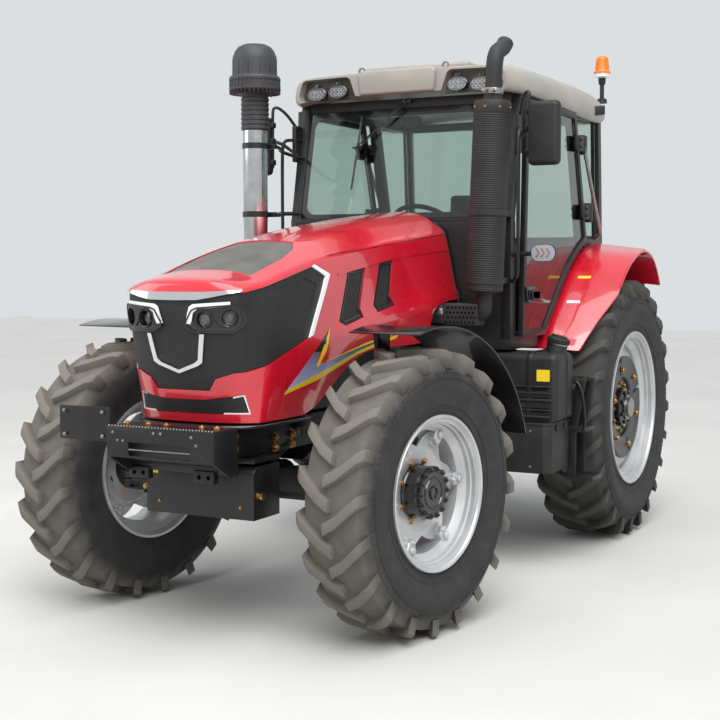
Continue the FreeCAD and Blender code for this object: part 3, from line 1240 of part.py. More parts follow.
def make_rear_fenders():
    """Rear fenders: an arched sheet that dips outboard, and a wall that closes its inner side."""
    outline = [Vector(y, z, 0) for y, z in ARCH]
    hub = Vector(number(S.rear_axle_y), number(S.rear_tyre_radius), 0)
    inward = [(hub - point).normalize() for point in outline]
    wall = number(S.fender_wall)
    dip = number(S.fender_dip)

    def band(drop):
        outer = [point + way * drop for point, way in zip(outline, inward)]
        inner = [point + way * (drop + wall) for point, way in zip(outline, inward)]
        return [(p.x, p.y) for p in outer + inner[::-1]]

    inside = [(p.x, p.y) for p in [point + way * wall / 2 for point, way in zip(outline, inward)]]
    inner_wall = inside + [(1850, 1560), (1700, 1300), (470, 1300)]
    halves = []
    for side in (1, -1):
        span = (S.fender_inner_x * side, S.fender_crown_x * side, S.fender_outer_x * side)
        arch = lofted(f"fender_arch_{side}", "YZ",
                      [(span[0], band(0)), (span[1], band(0)), (span[2], band(dip))])
        flare = pad(f"fender_flare_{side}", "XY",
                    [(975 * side, 380), (1140 * side, 880), (1300 * side, 880), (1300 * side, 380)],
                    1000, 2000)
        wall_x = (S.fender_inner_x, S.fender_inner_x + wall) if side == 1 \
            else (-S.fender_inner_x - wall, -S.fender_inner_x)
        wall_plate = pad(f"fender_wall_{side}", "YZ", inner_wall, wall_x[0], wall_x[1])
        halves.append(fuse(f"fender_{side}", [cut(f"fender_flared_{side}", arch, flare),
                                              wall_plate]))
    node("rear_fenders", group("rear_fenders_group", halves))


def make_mirrors():
    arms = []
    for side in (1, -1):
        def x_span(low, high):
            return (low, high) if side == 1 else (-high, -low)
        arm = box(f"mirror_arm_{side}", x_span(S.cab_half_width, 960), (-30, -4), (2640, 2664))
        low_arm = box(f"mirror_low_{side}", x_span(S.cab_half_width, 960), (-30, -4), (2440, 2464))
        head = box(f"mirror_head_{side}", x_span(870, 1062), (-110, -30), (2372, 2745))
        stand = box(f"mirror_stand_{side}", x_span(S.cab_half_width + 0.3, S.cab_half_width + 30),
                    (-30, 60), (2400, 2700))
        arms.append(fuse(f"mirror_{side}", [arm, low_arm, head, stand]))
    node("mirrors", group("mirrors_group", arms))


def make_hitch():
    """Rear lift: rockshaft arms, rods and lower links, with the drawbar and stub shaft below."""
    y, z = S.rockshaft_y, S.rockshaft_z
    arm_in, arm_out = S.lift_arm_x, S.lift_arm_x + 32
    pin_y = y + S.lift_arm_length
    link_z = S.link_pin_z
    arms = [rod("rockshaft", "X", 40, (-arm_in - 5, y, z), arm_in * 2 + 10)]
    for side in (1, -1):
        x = (arm_in, arm_out) if side == 1 else (-arm_out, -arm_in)
        arms.append(pad(f"lift_arm_{side}", "YZ",
                        [(y, z - S.lift_boss), (y, z + S.lift_boss), (pin_y + 30, z + 28),
                         (pin_y + 30, z - 28)], x[0], x[1]))
        arms.append(rod(f"lift_boss_{side}", "X", S.lift_boss, (x[0], y, z), x[1] - x[0]))
    node("lift_arms", fuse("lift_arms_shape", arms))
    links = []
    link_y = S.link_pin_y
    ball_y = link_y + S.link_length
    for side in (1, -1):
        ball_x = S.hitch_spread - 25 if side == 1 else -S.hitch_spread - 25
        bar = pad(f"link_bar_{side}", "XY",
                  [(210 * side, link_y - 30), (250 * side, link_y - 30),
                   ((S.hitch_spread + 20) * side, ball_y - 20),
                   ((S.hitch_spread - 20) * side, ball_y - 20)], link_z - 32, link_z + 32)
        ball = rod(f"link_ball_{side}", "X", 45, (ball_x, ball_y, link_z), 50)
        hole = rod(f"link_hole_{side}", "X", S.hitch_pin_hole, (ball_x - 20, ball_y, link_z), 90)
        stud_x = (S.lift_arm_x + 34) * side if side == 1 else -S.lift_arm_x - 144
        stud = rod(f"link_stud_{side}", "X", 14, (stud_x, S.rockshaft_y + S.lift_arm_length, link_z),
                   110)
        links.append(cut(f"link_{side}", fuse(f"link_full_{side}", [bar, ball, stud]), hole))
    tie = rod("link_tie", "X", 20, (-230, link_y, link_z), 460)
    node("lower_links", fuse("lower_links_shape", links + [tie]))
    rods = []
    for side in (1, -1):
        x = (arm_out + 8 + 20) * side
        near = arm_out + 0.3 if side == 1 else -arm_out - 40.3
        low_eye = cut(f"lift_rod_ring_{side}",
                      rod(f"lift_rod_low_{side}", "X", 38, (near, pin_y, link_z), 40),
                      rod(f"lift_rod_hole_{side}", "X", 24, (near - 5, pin_y, link_z), 50))
        rods.append(fuse(f"lift_rod_{side}", [
            rod(f"lift_rod_bar_{side}", "Z", 18, (x, pin_y, link_z + 30), z - link_z - 30),
            rod(f"lift_rod_eye_{side}", "X", 30, (near, pin_y, z), 40), low_eye]))
    node("lift_rods", group("lift_rods_group", rods))
    bar_y = S.rear_axle_y + 100
    drawbar = box("drawbar_bar", (-40, 40), (bar_y, bar_y + 780), (470, 515))
    hanger = box("drawbar_hanger", (-120, 120), (bar_y + 15, bar_y + 85),
                 (440, S.gearbox_bottom_z - S.seat_gap))
    saddle = box("drawbar_saddle", (-60, 60), (bar_y, bar_y + 110), (435, 470))
    hole = rod("drawbar_hole", "Z", S.drawbar_pin_hole, (0, bar_y + 730, 450), 90)
    node("drawbar", cut("drawbar_shape", fuse("drawbar_full", [drawbar, hanger, saddle]), hole))
    stub = rod("pto_stub", "Y", S.pto_radius, (0, S.rear_axle_y + 310.5, 720), 130)
    flange = rod("pto_flange", "Y", 40, (0, S.rear_axle_y + 310.5, 720), 24)
    node("pto_shaft", fuse("pto_shaft_shape", [stub, flange]))


make_wheels()
make_front_axle()
make_knuckles()
make_tie_rod()
make_front_frame()
make_weight_bracket()
make_toolbox()
make_engine()
make_transmission()
make_rear_axle()
make_hood()
make_exhaust()
make_intake()
make_tank()
make_steps()
make_cab()
make_doors()
make_rear_fenders()
make_mirrors()
make_hitch()

doc.recompute()
for item in doc.Objects:
    if "Invalid" in item.State or "Error" in item.State:
        raise RuntimeError(f"{item.Name} failed: {item.State}")
for name, item in nodes.items():
    if item.Shape.isNull() or not item.Shape.isValid() or not item.Shape.Solids:
        raise RuntimeError(f"{name} has no valid solid")

os.makedirs("parts", exist_ok=True)
for name, item in nodes.items():
    item.Shape.exportStep(f"parts/{name}.step")
    print(f"{name}: {len(item.Shape.Solids)} solid(s), {item.Shape.Volume / 1e6:.1f} litres")
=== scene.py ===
"""Looks of the four-wheel-drive farm tractor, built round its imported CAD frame."""
import json
import math

import bmesh
import bpy
from mathutils import Matrix, Vector


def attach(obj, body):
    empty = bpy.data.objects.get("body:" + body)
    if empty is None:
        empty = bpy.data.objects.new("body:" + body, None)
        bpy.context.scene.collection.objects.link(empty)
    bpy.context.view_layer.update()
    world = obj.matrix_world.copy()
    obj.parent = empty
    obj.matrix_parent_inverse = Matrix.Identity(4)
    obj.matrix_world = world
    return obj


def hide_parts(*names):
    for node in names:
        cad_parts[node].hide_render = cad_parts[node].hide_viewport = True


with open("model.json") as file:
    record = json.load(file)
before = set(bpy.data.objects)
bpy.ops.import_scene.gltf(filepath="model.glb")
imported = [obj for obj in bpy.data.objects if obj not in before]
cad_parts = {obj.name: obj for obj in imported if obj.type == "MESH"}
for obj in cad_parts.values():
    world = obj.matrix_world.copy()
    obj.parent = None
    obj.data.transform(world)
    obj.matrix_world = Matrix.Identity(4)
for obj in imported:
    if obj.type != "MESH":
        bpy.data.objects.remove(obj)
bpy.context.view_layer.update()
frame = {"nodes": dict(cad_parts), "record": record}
nodes = frame["nodes"]


# Colours and materials

def linear(colour, alpha=1.0):
    """An sRGB hex value as the linear colour that a socket takes."""
    channels = [int(colour[i:i + 2], 16) / 255 for i in (1, 3, 5)]
    return [c / 12.92 if c <= 0.04045 else ((c + 0.055) / 1.055) ** 2.4 for c in channels] + [alpha]


def add(tree, kind, settings=None, links=None):
    """Add a node, set its properties and inputs, and link its inputs to other nodes' outputs."""
    made = tree.nodes.new(kind)
    for name, value in (settings or {}).items():
        if isinstance(name, str) and hasattr(made, name):
            setattr(made, name, value)
        else:
            made.inputs[name].default_value = value
    for name, socket in (links or {}).items():
        tree.links.new(socket, made.inputs[name])
    return made


def surface(name, **settings):
    """A new material with its shader; settings go on the shader's own sockets."""
    made = bpy.data.materials.new(name)
    made.use_nodes = True
    tree = made.node_tree
    tree.nodes.clear()
    shader = add(tree, "ShaderNodeBsdfPrincipled", settings)
    add(tree, "ShaderNodeOutputMaterial", links={"Surface": shader.outputs["BSDF"]})
    where = add(tree, "ShaderNodeTexCoord")
    return made, tree, shader, where.outputs["Object"]


def speckle(tree, where, scale, detail=4.0, roughness=0.55):
    """Noise whose spots are 1 / scale metres across."""
    made = add(tree, "ShaderNodeTexNoise",
               {"Scale": scale, "Detail": detail, "Roughness": roughness}, {"Vector": where})
    return made.outputs["Fac"]


def ramp(tree, factor, stops):
    """A colour ramp through (place, hex) stops."""
    made = add(tree, "ShaderNodeValToRGB", links={"Fac": factor})
    elements = made.color_ramp.elements
    while len(elements) < len(stops):
        elements.new(0.5)
    for element, (place, colour) in zip(elements, stops):
        element.position = place
        element.color = linear(colour)
    return made.outputs["Color"]


def spread(tree, factor, low, high):
    """A factor mapped from 0..1 to low..high."""
    made = add(tree, "ShaderNodeMapRange", {"To Min": low, "To Max": high}, {"Value": factor})
    return made.outputs["Result"]


def relief(tree, shader, height, depth):
    """Bump of a depth in metres."""
    bump = add(tree, "ShaderNodeBump", {"Strength": 1.0, "Distance": depth}, {"Height": height})
    tree.links.new(bump.outputs["Normal"], shader.inputs["Normal"])


def wear(tree, shader, where, colours, scale, rough, depth=None, grain=None):
    """Colour, roughness and a little relief that vary over a surface."""
    spots = speckle(tree, where, scale)
    tree.links.new(ramp(tree, spots, colours), shader.inputs["Base Color"])
    tree.links.new(spread(tree, spots, *rough), shader.inputs["Roughness"])
    if depth:
        relief(tree, shader, speckle(tree, where, grain), depth)


def red_enamel():
    """Baked red enamel on pressed steel: deep, glossy, with a faint orange peel."""
    made, tree, shader, where = surface("red_enamel", **{"Coat Weight": 1.0, "Coat Roughness": 0.05,
                                                            "Coat IOR": 1.6})
    wear(tree, shader, where, [(0.3, "#c20c24"), (0.7, "#d0112a")], 3.0, (0.24, 0.32), 0.00004, 220)
    return made


def cast_black():
    """Grey iron casting under black enamel: satin, with the sand mould's grain."""
    made, tree, shader, where = surface("enamelled_casting")
    wear(tree, shader, where, [(0.25, "#111112"), (0.75, "#1d1d1e")], 14, (0.42, 0.62), 0.0005, 130)
    return made


def frame_black():
    """Black powder coat on folded steel: even, low sheen."""
    made, tree, shader, where = surface("powder_coat")
    wear(tree, shader, where, [(0.3, "#0f0f10"), (0.7, "#181819")], 9, (0.36, 0.48), 0.00008, 420)
    return made


def moulded_black():
    """Rotomoulded polyethylene: matt black with an orange-peel grain of about 2 mm."""
    made, tree, shader, where = surface("moulded_polyethylene")
    wear(tree, shader, where, [(0.3, "#141415"), (0.75, "#222223")], 11, (0.5, 0.66), 0.0002, 480)
    return made


def worn_rubber(name, centre, turned_by, tread, dust):
    """Carbon-black rubber: matt and dark on the walls, with dry pale dust worn into the tread."""
    made, tree, shader, where = surface(name)
    hub = add(tree, "ShaderNodeMapping", {"vector_type": "TEXTURE", "Location": centre,
                                          "Rotation": (0, 0, math.radians(turned_by))},
              {"Vector": where})
    across = add(tree, "ShaderNodeVectorMath", {"operation": "MULTIPLY", 1: (0, 1, 1)},
                 {0: hub.outputs["Vector"]})
    reach = add(tree, "ShaderNodeVectorMath", {"operation": "LENGTH"}, {0: across.outputs[0]})
    patches = speckle(tree, where, 9, 6.0, 0.62)
    edge = add(tree, "ShaderNodeMath", {"operation": "MULTIPLY_ADD", 1: 0.09},
               {0: patches, 2: reach.outputs["Value"]})
    share = add(tree, "ShaderNodeMapRange", {"From Min": tread - 0.085, "From Max": tread + 0.03},
                {"Value": edge.outputs[0]})
    wall = ramp(tree, patches, [(0.28, "#212122"), (0.5, "#2b2b2c"), (0.75, "#363636")])
    both = add(tree, "ShaderNodeMix", {"data_type": "RGBA", 7: linear(dust)})
    tree.links.new(share.outputs["Result"], both.inputs[0])
    tree.links.new(wall, both.inputs[6])
    tree.links.new(both.outputs[2], shader.inputs["Base Color"])
    tree.links.new(spread(tree, patches, 0.72, 0.9), shader.inputs["Roughness"])
    relief(tree, shader, speckle(tree, where, 150), 0.0006)
    return made


def silver_paint():
    """Aluminium-flake wheel paint: pale silver, satin."""
    made, tree, shader, where = surface("wheel_silver_paint", Metallic=0.55)
    wear(tree, shader, where, [(0.3, "#b9babb"), (0.7, "#cdcecf")], 6, (0.36, 0.46), 0.00008, 300)
    return made


def chrome():
    """Bright chrome plate."""
    made, tree, shader, where = surface("chrome_plate", Metallic=1.0)
    wear(tree, shader, where, [(0.3, "#d6d7d9"), (0.7, "#e4e5e6")], 5, (0.08, 0.14))
    return made


def polished_tube():
    """Polished stainless tube: bright, with fine drawing lines along its length."""
    made, tree, shader, where = surface("polished_stainless", Metallic=1.0)
    wear(tree, shader, where, [(0.3, "#b4b6b8"), (0.7, "#cfd0d2")], 9, (0.14, 0.24))
    return made


def hot_black():
    """Heat-proof black paint on the muffler: dry and matt, greyer where it has been hot."""
    made, tree, shader, where = surface("stove_black")
    wear(tree, shader, where, [(0.3, "#161617"), (0.75, "#2b2b2c")], 7, (0.55, 0.75), 0.0002, 380)
    return made


def roof_grey():
    """Gel-coated fibreglass roof in pale grey: smooth with a soft gloss."""
    made, tree, shader, where = surface("gel_coat_grey", **{"Coat Weight": 0.2, "Coat Roughness": 0.2})
    wear(tree, shader, where, [(0.3, "#928e86"), (0.7, "#9f9b93")], 4, (0.36, 0.46), 0.00006, 260)
    return made


def shaded_gel_coat():
    """The roof's gel coat in the lamp bays, darkened with painted shade."""
    made, tree, shader, where = surface("shaded_gel_coat", **{"Coat Weight": 0.2, "Coat Roughness": 0.2})
    wear(tree, shader, where, [(0.3, "#4a463f"), (0.7, "#57524a")], 4, (0.36, 0.46), 0.00006, 260)
    return made


def weathered_black():
    """Sun-bleached polyethylene of the pre-cleaner."""
    made, tree, shader, where = surface("weathered_polyethylene")
    wear(tree, shader, where, [(0.3, "#2b2d2f"), (0.75, "#3a3c3f")], 11, (0.5, 0.66), 0.0002, 480)
    return made


def cab_glass():
    """Green-tinted toughened glass."""
    made, tree, shader, where = surface("tinted_toughened_glass", **{"Transmission Weight": 1.0})
    wear(tree, shader, where, [(0.3, "#c9d9d2"), (0.7, "#d0dfd8")], 1.5, (0.0, 0.012))
    return made


def lamp_glass():
    """Clear polycarbonate lamp lens."""
    made, tree, shader, where = surface("clear_polycarbonate", **{"Transmission Weight": 0.9, "IOR": 1.58})
    wear(tree, shader, where, [(0.3, "#e6eaee"), (0.7, "#f2f4f6")], 3, (0.02, 0.06))
    return made


def amber_lens():
    """Amber acrylic, lit through by daylight."""
    made, tree, shader, where = surface("amber_acrylic", **{"Transmission Weight": 0.35, "IOR": 1.49})
    wear(tree, shader, where, [(0.3, "#ff7a08"), (0.7, "#ff9420")], 6, (0.12, 0.2))
    return made


def seat_cloth():
    """Woven dark seat cloth."""
    made, tree, shader, where = surface("woven_seat_cloth", **{"Sheen Weight": 0.3})
    wear(tree, shader, where, [(0.3, "#18181b"), (0.7, "#26262a")], 60, (0.8, 0.95), 0.0005, 700)
    return made


def bare_steel():
    """Machined steel, lightly oiled."""
    made, tree, shader, where = surface("machined_steel", Metallic=1.0)
    wear(tree, shader, where, [(0.3, "#8d8d8c"), (0.7, "#a8a8a6")], 20, (0.26, 0.4))
    return made


def gauze(name, dark, wire):
    """Fine woven wire mesh in a frame: matt, with paler wires every few millimetres."""
    made, tree, shader, where = surface(name)
    parts = add(tree, "ShaderNodeSeparateXYZ", links={"Vector": where})
    across = add(tree, "ShaderNodeMath", {"operation": "MULTIPLY_ADD", 1: 0.5},
                 {0: parts.outputs["Y"], 2: parts.outputs["X"]})
    up = add(tree, "ShaderNodeMath", {"operation": "MULTIPLY_ADD", 1: 0.6},
             {0: parts.outputs["Y"], 2: parts.outputs["Z"]})
    flat = add(tree, "ShaderNodeCombineXYZ", links={"X": across.outputs[0], "Y": up.outputs[0]})
    holes = add(tree, "ShaderNodeTexVoronoi", {"voronoi_dimensions": "2D", "Scale": 1 / 0.006,
                                               "Randomness": 0.0}, {"Vector": flat.outputs[0]})
    dots = ramp(tree, holes.outputs["Distance"], [(0.28, dark), (0.5, wire)])
    dust = ramp(tree, speckle(tree, where, 6), [(0.3, "#8c8c8c"), (0.8, "#ffffff")])
    both_ways = add(tree, "ShaderNodeMix", {"data_type": "RGBA", "blend_type": "MULTIPLY", 0: 0.7})
    tree.links.new(dots, both_ways.inputs[6])
    tree.links.new(dust, both_ways.inputs[7])
    tree.links.new(both_ways.outputs[2], shader.inputs["Base Color"])
    shader.inputs["Roughness"].default_value = 0.55
    relief(tree, shader, holes.outputs["Distance"], 0.001)
    return made


def bright_white():
    """White-painted trim strip with a clear coat."""
    made, tree, shader, where = surface("white_lacquered_trim", **{"Coat Weight": 0.5})
    wear(tree, shader, where, [(0.3, "#e6e8ea"), (0.7, "#f4f5f6")], 9, (0.2, 0.3))
    return made


def lacquer_black(name="gloss_black_abs"):
    """Glossy black, as on moulded ABS and fresh enamel."""
    made, tree, shader, where = surface(name, **{"Coat Weight": 0.5, "IOR": 1.53})
    wear(tree, shader, where, [(0.3, "#0b0b0c"), (0.7, "#131314")], 12, (0.18, 0.3))
    return made


def bronze_zinc():
    """Yellow-passivated zinc on nuts and unions."""
    made, tree, shader, where = surface("yellow_zinc_plate", Metallic=1.0)
    wear(tree, shader, where, [(0.3, "#9a6f3f"), (0.55, "#b98f58"), (0.8, "#cfc3a4")], 60,
         (0.28, 0.45))
    return made


def film(name, stops, axis, low, high):
    """Printed vinyl film whose colour runs across the decal."""
    made, tree, shader, where = surface(name, **{"Roughness": 0.3, "Coat Weight": 0.4})
    parts = add(tree, "ShaderNodeSeparateXYZ", links={"Vector": where})
    place = add(tree, "ShaderNodeMapRange", {"From Min": low, "From Max": high},
                {"Value": parts.outputs[axis]})
    grain = add(tree, "ShaderNodeMath", {"operation": "MULTIPLY_ADD", 1: 0.06},
                {0: speckle(tree, where, 40), 2: place.outputs["Result"]})
    tree.links.new(ramp(tree, grain.outputs[0], stops), shader.inputs["Base Color"])
    return made


def disc_grey():
    """Dark grey chassis paint on the rear wheel discs."""
    made, tree, shader, where = surface("disc_grey_enamel")
    wear(tree, shader, where, [(0.3, "#3f4143"), (0.7, "#4c4e50")], 12, (0.4, 0.55), 0.0003, 160)
    return made


RED, CASTING, POWDER, MOULDED = red_enamel(), cast_black(), frame_black(), moulded_black()
SILVER, CHROME, TUBE = silver_paint(), chrome(), polished_tube()
RUBBER = {
    "front_left": worn_rubber("front_left_rubber", (0.86248, -1.61207, 0.702), -9, 0.702, "#6f6a62"),
    "front_right": worn_rubber("front_right_rubber", (-0.86248, -1.54793, 0.702), -9, 0.702,
                               "#6f6a62"),
    "rear": worn_rubber("rear_rubber", (0, 1.3, 0.852), 0, 0.852, "#45433f"),
}
STOVE, ROOF, GLASS, LENS = hot_black(), roof_grey(), cab_glass(), lamp_glass()
AMBER, CLOTH, STEEL = amber_lens(), seat_cloth(), bare_steel()
GAUZE = gauze("black_wire_mesh", "#101011", "#2c2c2d")
DUSTY_GAUZE = gauze("dusty_wire_mesh", "#3a3936", "#8a8780")
WHITE, GLOSS, ZINC, DISC_GREY = bright_white(), lacquer_black(), bronze_zinc(), disc_grey()
GLOSS_CAST = lacquer_black("enamelled_hub")
# The first is a darker gel coat that paints the shade in the roof's lamp bays.
PAINTED_SHADE_GEL_COAT, SLATE = shaded_gel_coat(), weathered_black()
YELLOW = film("yellow_film", [(0.2, "#e8c31c"), (0.8, "#f3d02a")], "Y", -2.0, -0.8)
BLUE = film("silver_blue_film", [(0.1, "#a9acc8"), (0.45, "#7f86a6"), (0.7, "#3c4354"),
                                 (0.95, "#8f93ad")], "Z", 1.18, 1.5)

PAINTS = {"tyre": RUBBER["rear"], "wheel_silver": SILVER, "red_paint": RED, "black_casting": CASTING,
          "black_plastic": MOULDED, "black_frame": POWDER, "chrome_trim": CHROME,
          "dark_steel": STOVE, "polished_steel": TUBE, "roof_grey": ROOF, "lamp_lens": LENS,
          "amber_lens": AMBER, "tinted_glass": GLASS, "seat_fabric": CLOTH, "bare_steel": STEEL}

DRESS = {
    "red_paint": ["hood_shell", "rear_fenders"],
    "black_casting": ["front_axle", "knuckle_left", "knuckle_right", "tie_rod", "engine_block",
                      "transmission_case", "rear_axle_housing", "lift_arms", "lower_links",
                      "lift_rods", "drawbar", "front_frame"],
    "black_frame": ["cab_frame", "cab_floor", "door_left", "door_right", "weight_bracket",
                    "front_toolbox", "steps"],
    "black_plastic": ["hood_grilles", "front_fender_left", "front_fender_right", "fuel_tank",
                      "battery_box", "mirrors", "cab_interior", "steering_wheel"],
    "tyre": ["front_left_tyre", "front_right_tyre", "rear_left_tyre", "rear_right_tyre"],
    "wheel_silver": ["front_left_rim", "front_right_rim", "rear_left_rim", "rear_right_rim"],
    "chrome_trim": ["nose_trim"],
    "polished_steel": ["air_intake"],
    "dark_steel": ["exhaust"],
    "roof_grey": ["cab_roof"],
    "tinted_glass": ["windscreen", "cab_windows", "door_glass_left", "door_glass_right"],
    "lamp_lens": ["headlamps", "roof_lamps"],
    "amber_lens": ["beacon"],
    "seat_fabric": ["seat_cushion"],
    "bare_steel": ["pto_shaft"],
}
SLOT_OF = {name: slot for slot, names in DRESS.items() for name in names}
BODY_OF = {name: body for body, names in frame["record"]["behaviour"]["bodies"].items()
           for name in names}


def paint_of(name):
    """The material of a CAD node."""
    if name.startswith("front_fender"):
        return GLOSS
    tyre = RUBBER.get(name.removesuffix("_tyre"))
    return tyre or PAINTS[SLOT_OF[name]]


for name in SLOT_OF:
    nodes[name].data.materials.clear()
    nodes[name].data.materials.append(paint_of(name))


# Modelling tools

HERE = Matrix.Identity(4)
FRONT = Matrix(((1, 0, 0, 0), (0, 0, -1, 0), (0, 1, 0, 0), (0, 0, 0, 1)))
SIDE = Matrix(((0, 0, 1, 0), (1, 0, 0, 0), (0, 1, 0, 0), (0, 0, 0, 1)))
OTHER_SIDE = Matrix.Scale(-1, 4, (1, 0, 0))


def at(x, y, z):
    return Matrix.Translation((x, y, z))


def turn(degrees, axis):
    return Matrix.Rotation(math.radians(degrees), 4, axis)


def pick(item):
    """Make one object the only selected and active one."""
    bpy.ops.object.select_all(action="DESELECT")
    item.select_set(True)
    bpy.context.view_layer.objects.active = item
    return item


def modify(item, kind, **settings):
    """Add a modifier with its settings and apply it."""
    pick(item)
    made = item.modifiers.new(kind.lower(), kind)
    for name, value in settings.items():
        setattr(made, name, value)
    bpy.ops.object.modifier_apply(modifier=made.name)
    return item


def edit(item, *steps):
    """Run edit-mode operators, each on the whole mesh."""
    pick(item)
    bpy.ops.object.mode_set(mode="EDIT")
    for step in steps:
        bpy.ops.mesh.select_all(action="SELECT")
        step()
    bpy.ops.object.mode_set(mode="OBJECT")
    return item


def close_up():
    bpy.ops.mesh.remove_doubles(threshold=0.0001)
    bpy.ops.mesh.normals_make_consistent(inside=False)


def rounded(item, width, segments=2, limit=30):
    return modify(item, "BEVEL", width=width, segments=segments, limit_method="ANGLE",
                  angle_limit=math.radians(limit))


def plate(name, outline, thickness, stand, bevel=0.0, segments=2):
    """A flat piece: a filled circle whose points are moved to its outline, then extruded."""
    bpy.ops.object.select_all(action="DESELECT")
    bpy.ops.mesh.primitive_circle_add(vertices=len(outline), fill_type="NGON")
    item = bpy.context.object
    item.name = name
    for vertex, (across, up) in zip(item.data.vertices, outline):
        vertex.co = (across, up, 0)
    edit(item, lambda: bpy.ops.mesh.extrude_region_move(
        TRANSFORM_OT_translate={"value": (0, 0, thickness)}), close_up)
    if bevel:
        rounded(item, bevel, segments)
    item.data.transform(stand)
    return item


def block(name, low, high, bevel, segments=2):
    """A cube stretched between two corners, with its edges rounded."""
    bpy.ops.object.select_all(action="DESELECT")
    bpy.ops.mesh.primitive_cube_add(size=1)
    item = bpy.context.object
    item.name = name
    for vertex in item.data.vertices:
        vertex.co = [a if c < 0 else b for c, a, b in zip(vertex.co, low, high)]
    return rounded(item, bevel, segments)


def turned(name, profile, stand, steps=48):
    """A turned piece: a closed outline of (radius, along) spun once round its own Z axis."""
    bpy.ops.object.select_all(action="DESELECT")
    bpy.ops.mesh.primitive_circle_add(vertices=len(profile), fill_type="NOTHING")
    item = bpy.context.object
    item.name = name
    for vertex, (radius, along) in zip(item.data.vertices, profile):
        vertex.co = (radius, 0, along)
    edit(item, lambda: bpy.ops.mesh.spin(steps=steps, angle=math.tau, center=(0, 0, 0),
                                         axis=(0, 0, 1)), close_up)
    item.data.transform(stand)
    return item


def tube(name, points, radius, smooth=True, closed=False, sides=3, caps=True):
    """A round tube along a route: a NURBS path with a bevel, made a mesh."""
    bpy.ops.object.select_all(action="DESELECT")
    bpy.ops.curve.primitive_nurbs_path_add()
    item = bpy.context.object
    item.name = name
    curve = item.data
    curve.splines.clear()
    spline = curve.splines.new("NURBS" if smooth else "POLY")
    spline.points.add(len(points) - 1)
    for spot, point in zip(spline.points, points):
        spot.co = (*point, 1)
    spline.order_u = 3
    spline.use_endpoint_u = not closed
    spline.use_cyclic_u = closed
    spline.resolution_u = 6
    curve.bevel_depth = radius
    curve.bevel_resolution = sides
    curve.use_fill_caps = caps
    bpy.ops.object.convert(target="MESH")
    return bpy.context.object


def woven(name, rows):
    """A sheet through rows of points: a grid whose vertices are moved."""
    bpy.ops.object.select_all(action="DESELECT")
    across, along = len(rows[0]) - 1, len(rows) - 1
    bpy.ops.mesh.primitive_grid_add(x_subdivisions=across, y_subdivisions=along, size=2)
    item = bpy.context.object
    item.name = name
    for vertex in item.data.vertices:
        column = round((vertex.co.x + 1) / 2 * across)
        row = round((vertex.co.y + 1) / 2 * along)
        vertex.co = rows[row][column]
    return item


def twin(item, *moves):
    """A copy with its own mesh, moved, turned or mirrored."""
    made = item.copy()
    made.data = item.data.copy()
    bpy.context.scene.collection.objects.link(made)
    for move in moves:
        made.data.transform(move)
        if move.determinant() < 0:
            made.data.flip_normals()
    return made


def both(item):
    """A piece and its mirror image on the tractor's other side, as one."""
    return joined(item.name, [item, twin(item, OTHER_SIDE)])


def joined(name, items):
    pick(items[0])
    for item in items[1:]:
        item.select_set(True)
    if len(items) > 1:
        bpy.ops.object.join()
    items[0].name = name
    items[0].data.name = name
    return items[0]


def boolean(item, cutter, operation="DIFFERENCE", keep=False):
    modify(item, "BOOLEAN", object=cutter, operation=operation, solver="EXACT")
    if not keep:
        bpy.data.objects.remove(cutter)
    return item


def done(item, slot, body="chassis", paint=None, smooth=35):
    """Dress a finished piece, smooth its round faces, and let it ride on its body."""
    pick(item)
    item.data.materials.clear()
    item.data.materials.append(paint or PAINTS[slot])
    bpy.ops.object.shade_smooth_by_angle(angle=math.radians(smooth))
    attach(item, body)
    return item


def mix(a, b, share):
    return a + (b - a) * share


def curved(rows, steps):
    """More rows between the given ones, on a smooth curve through each column."""
    made = []
    for i in range(len(rows) - 1):
        before, start, end = rows[max(i - 1, 0)], rows[i], rows[i + 1]
        after = rows[min(i + 2, len(rows) - 1)]
        for step in range(steps):
            t = step / steps
            made.append([0.5 * (2 * b + (c - a) * t + (2 * a - 5 * b + 4 * c - d) * t * t
                                + (3 * b - a - 3 * c + d) * t ** 3)
                         for a, b, c, d in zip(before, start, end, after)])
    return made + [list(rows[-1])]


def band(line, width):
    """The outline of a strip of that width along a line of points."""
    left, right = [], []
    for i, here in enumerate(line):
        before, after = line[max(i - 1, 0)], line[min(i + 1, len(line) - 1)]
        way = (Vector(after) - Vector(before)).normalized()
        aside = Vector((-way.y, way.x)) * width / 2
        left.append(tuple(Vector(here) + aside))
        right.append(tuple(Vector(here) - aside))
    return left + right[::-1]


def pill(low, high, radius, steps=4):
    """The outline of a rectangle with round corners."""
    (x0, y0), (x1, y1) = low, high
    made = []
    for x, y, start in ((x1 - radius, y0 + radius, -90), (x1 - radius, y1 - radius, 0),
                        (x0 + radius, y1 - radius, 90), (x0 + radius, y0 + radius, 180)):
        for i in range(steps + 1):
            angle = math.radians(start + 90 * i / steps)
            made.append((x + radius * math.cos(angle), y + radius * math.sin(angle)))
    return made


def capped():
    """Close every open edge with a face."""
    bpy.ops.mesh.fill_holes(sides=0)


def stacked(name, levels, steps=5):
    """A closed moulding through outlines one above another: z, low corner, high corner, radius."""
    rows = []
    for z, low, high, radius in levels:
        ring = pill(low, high, radius, steps)
        rows.append([(x, y, z) for x, y in ring + ring[:1]])
    return edit(woven(name, rows), close_up, capped, close_up)


def bar(name, start, end, radius):
    """A straight round bar."""
    return tube(name, [start, end], radius, False)


def bolts(name, spots, facing, size, paint=None):
    """Bolt heads at several places of the chassis, all looking one way, as one piece."""
    heads = [nut(size, size * 0.8, at(*spot) @ facing) for spot in spots]
    return done(joined(name, heads), "bare_steel", "chassis", paint)


# Hood

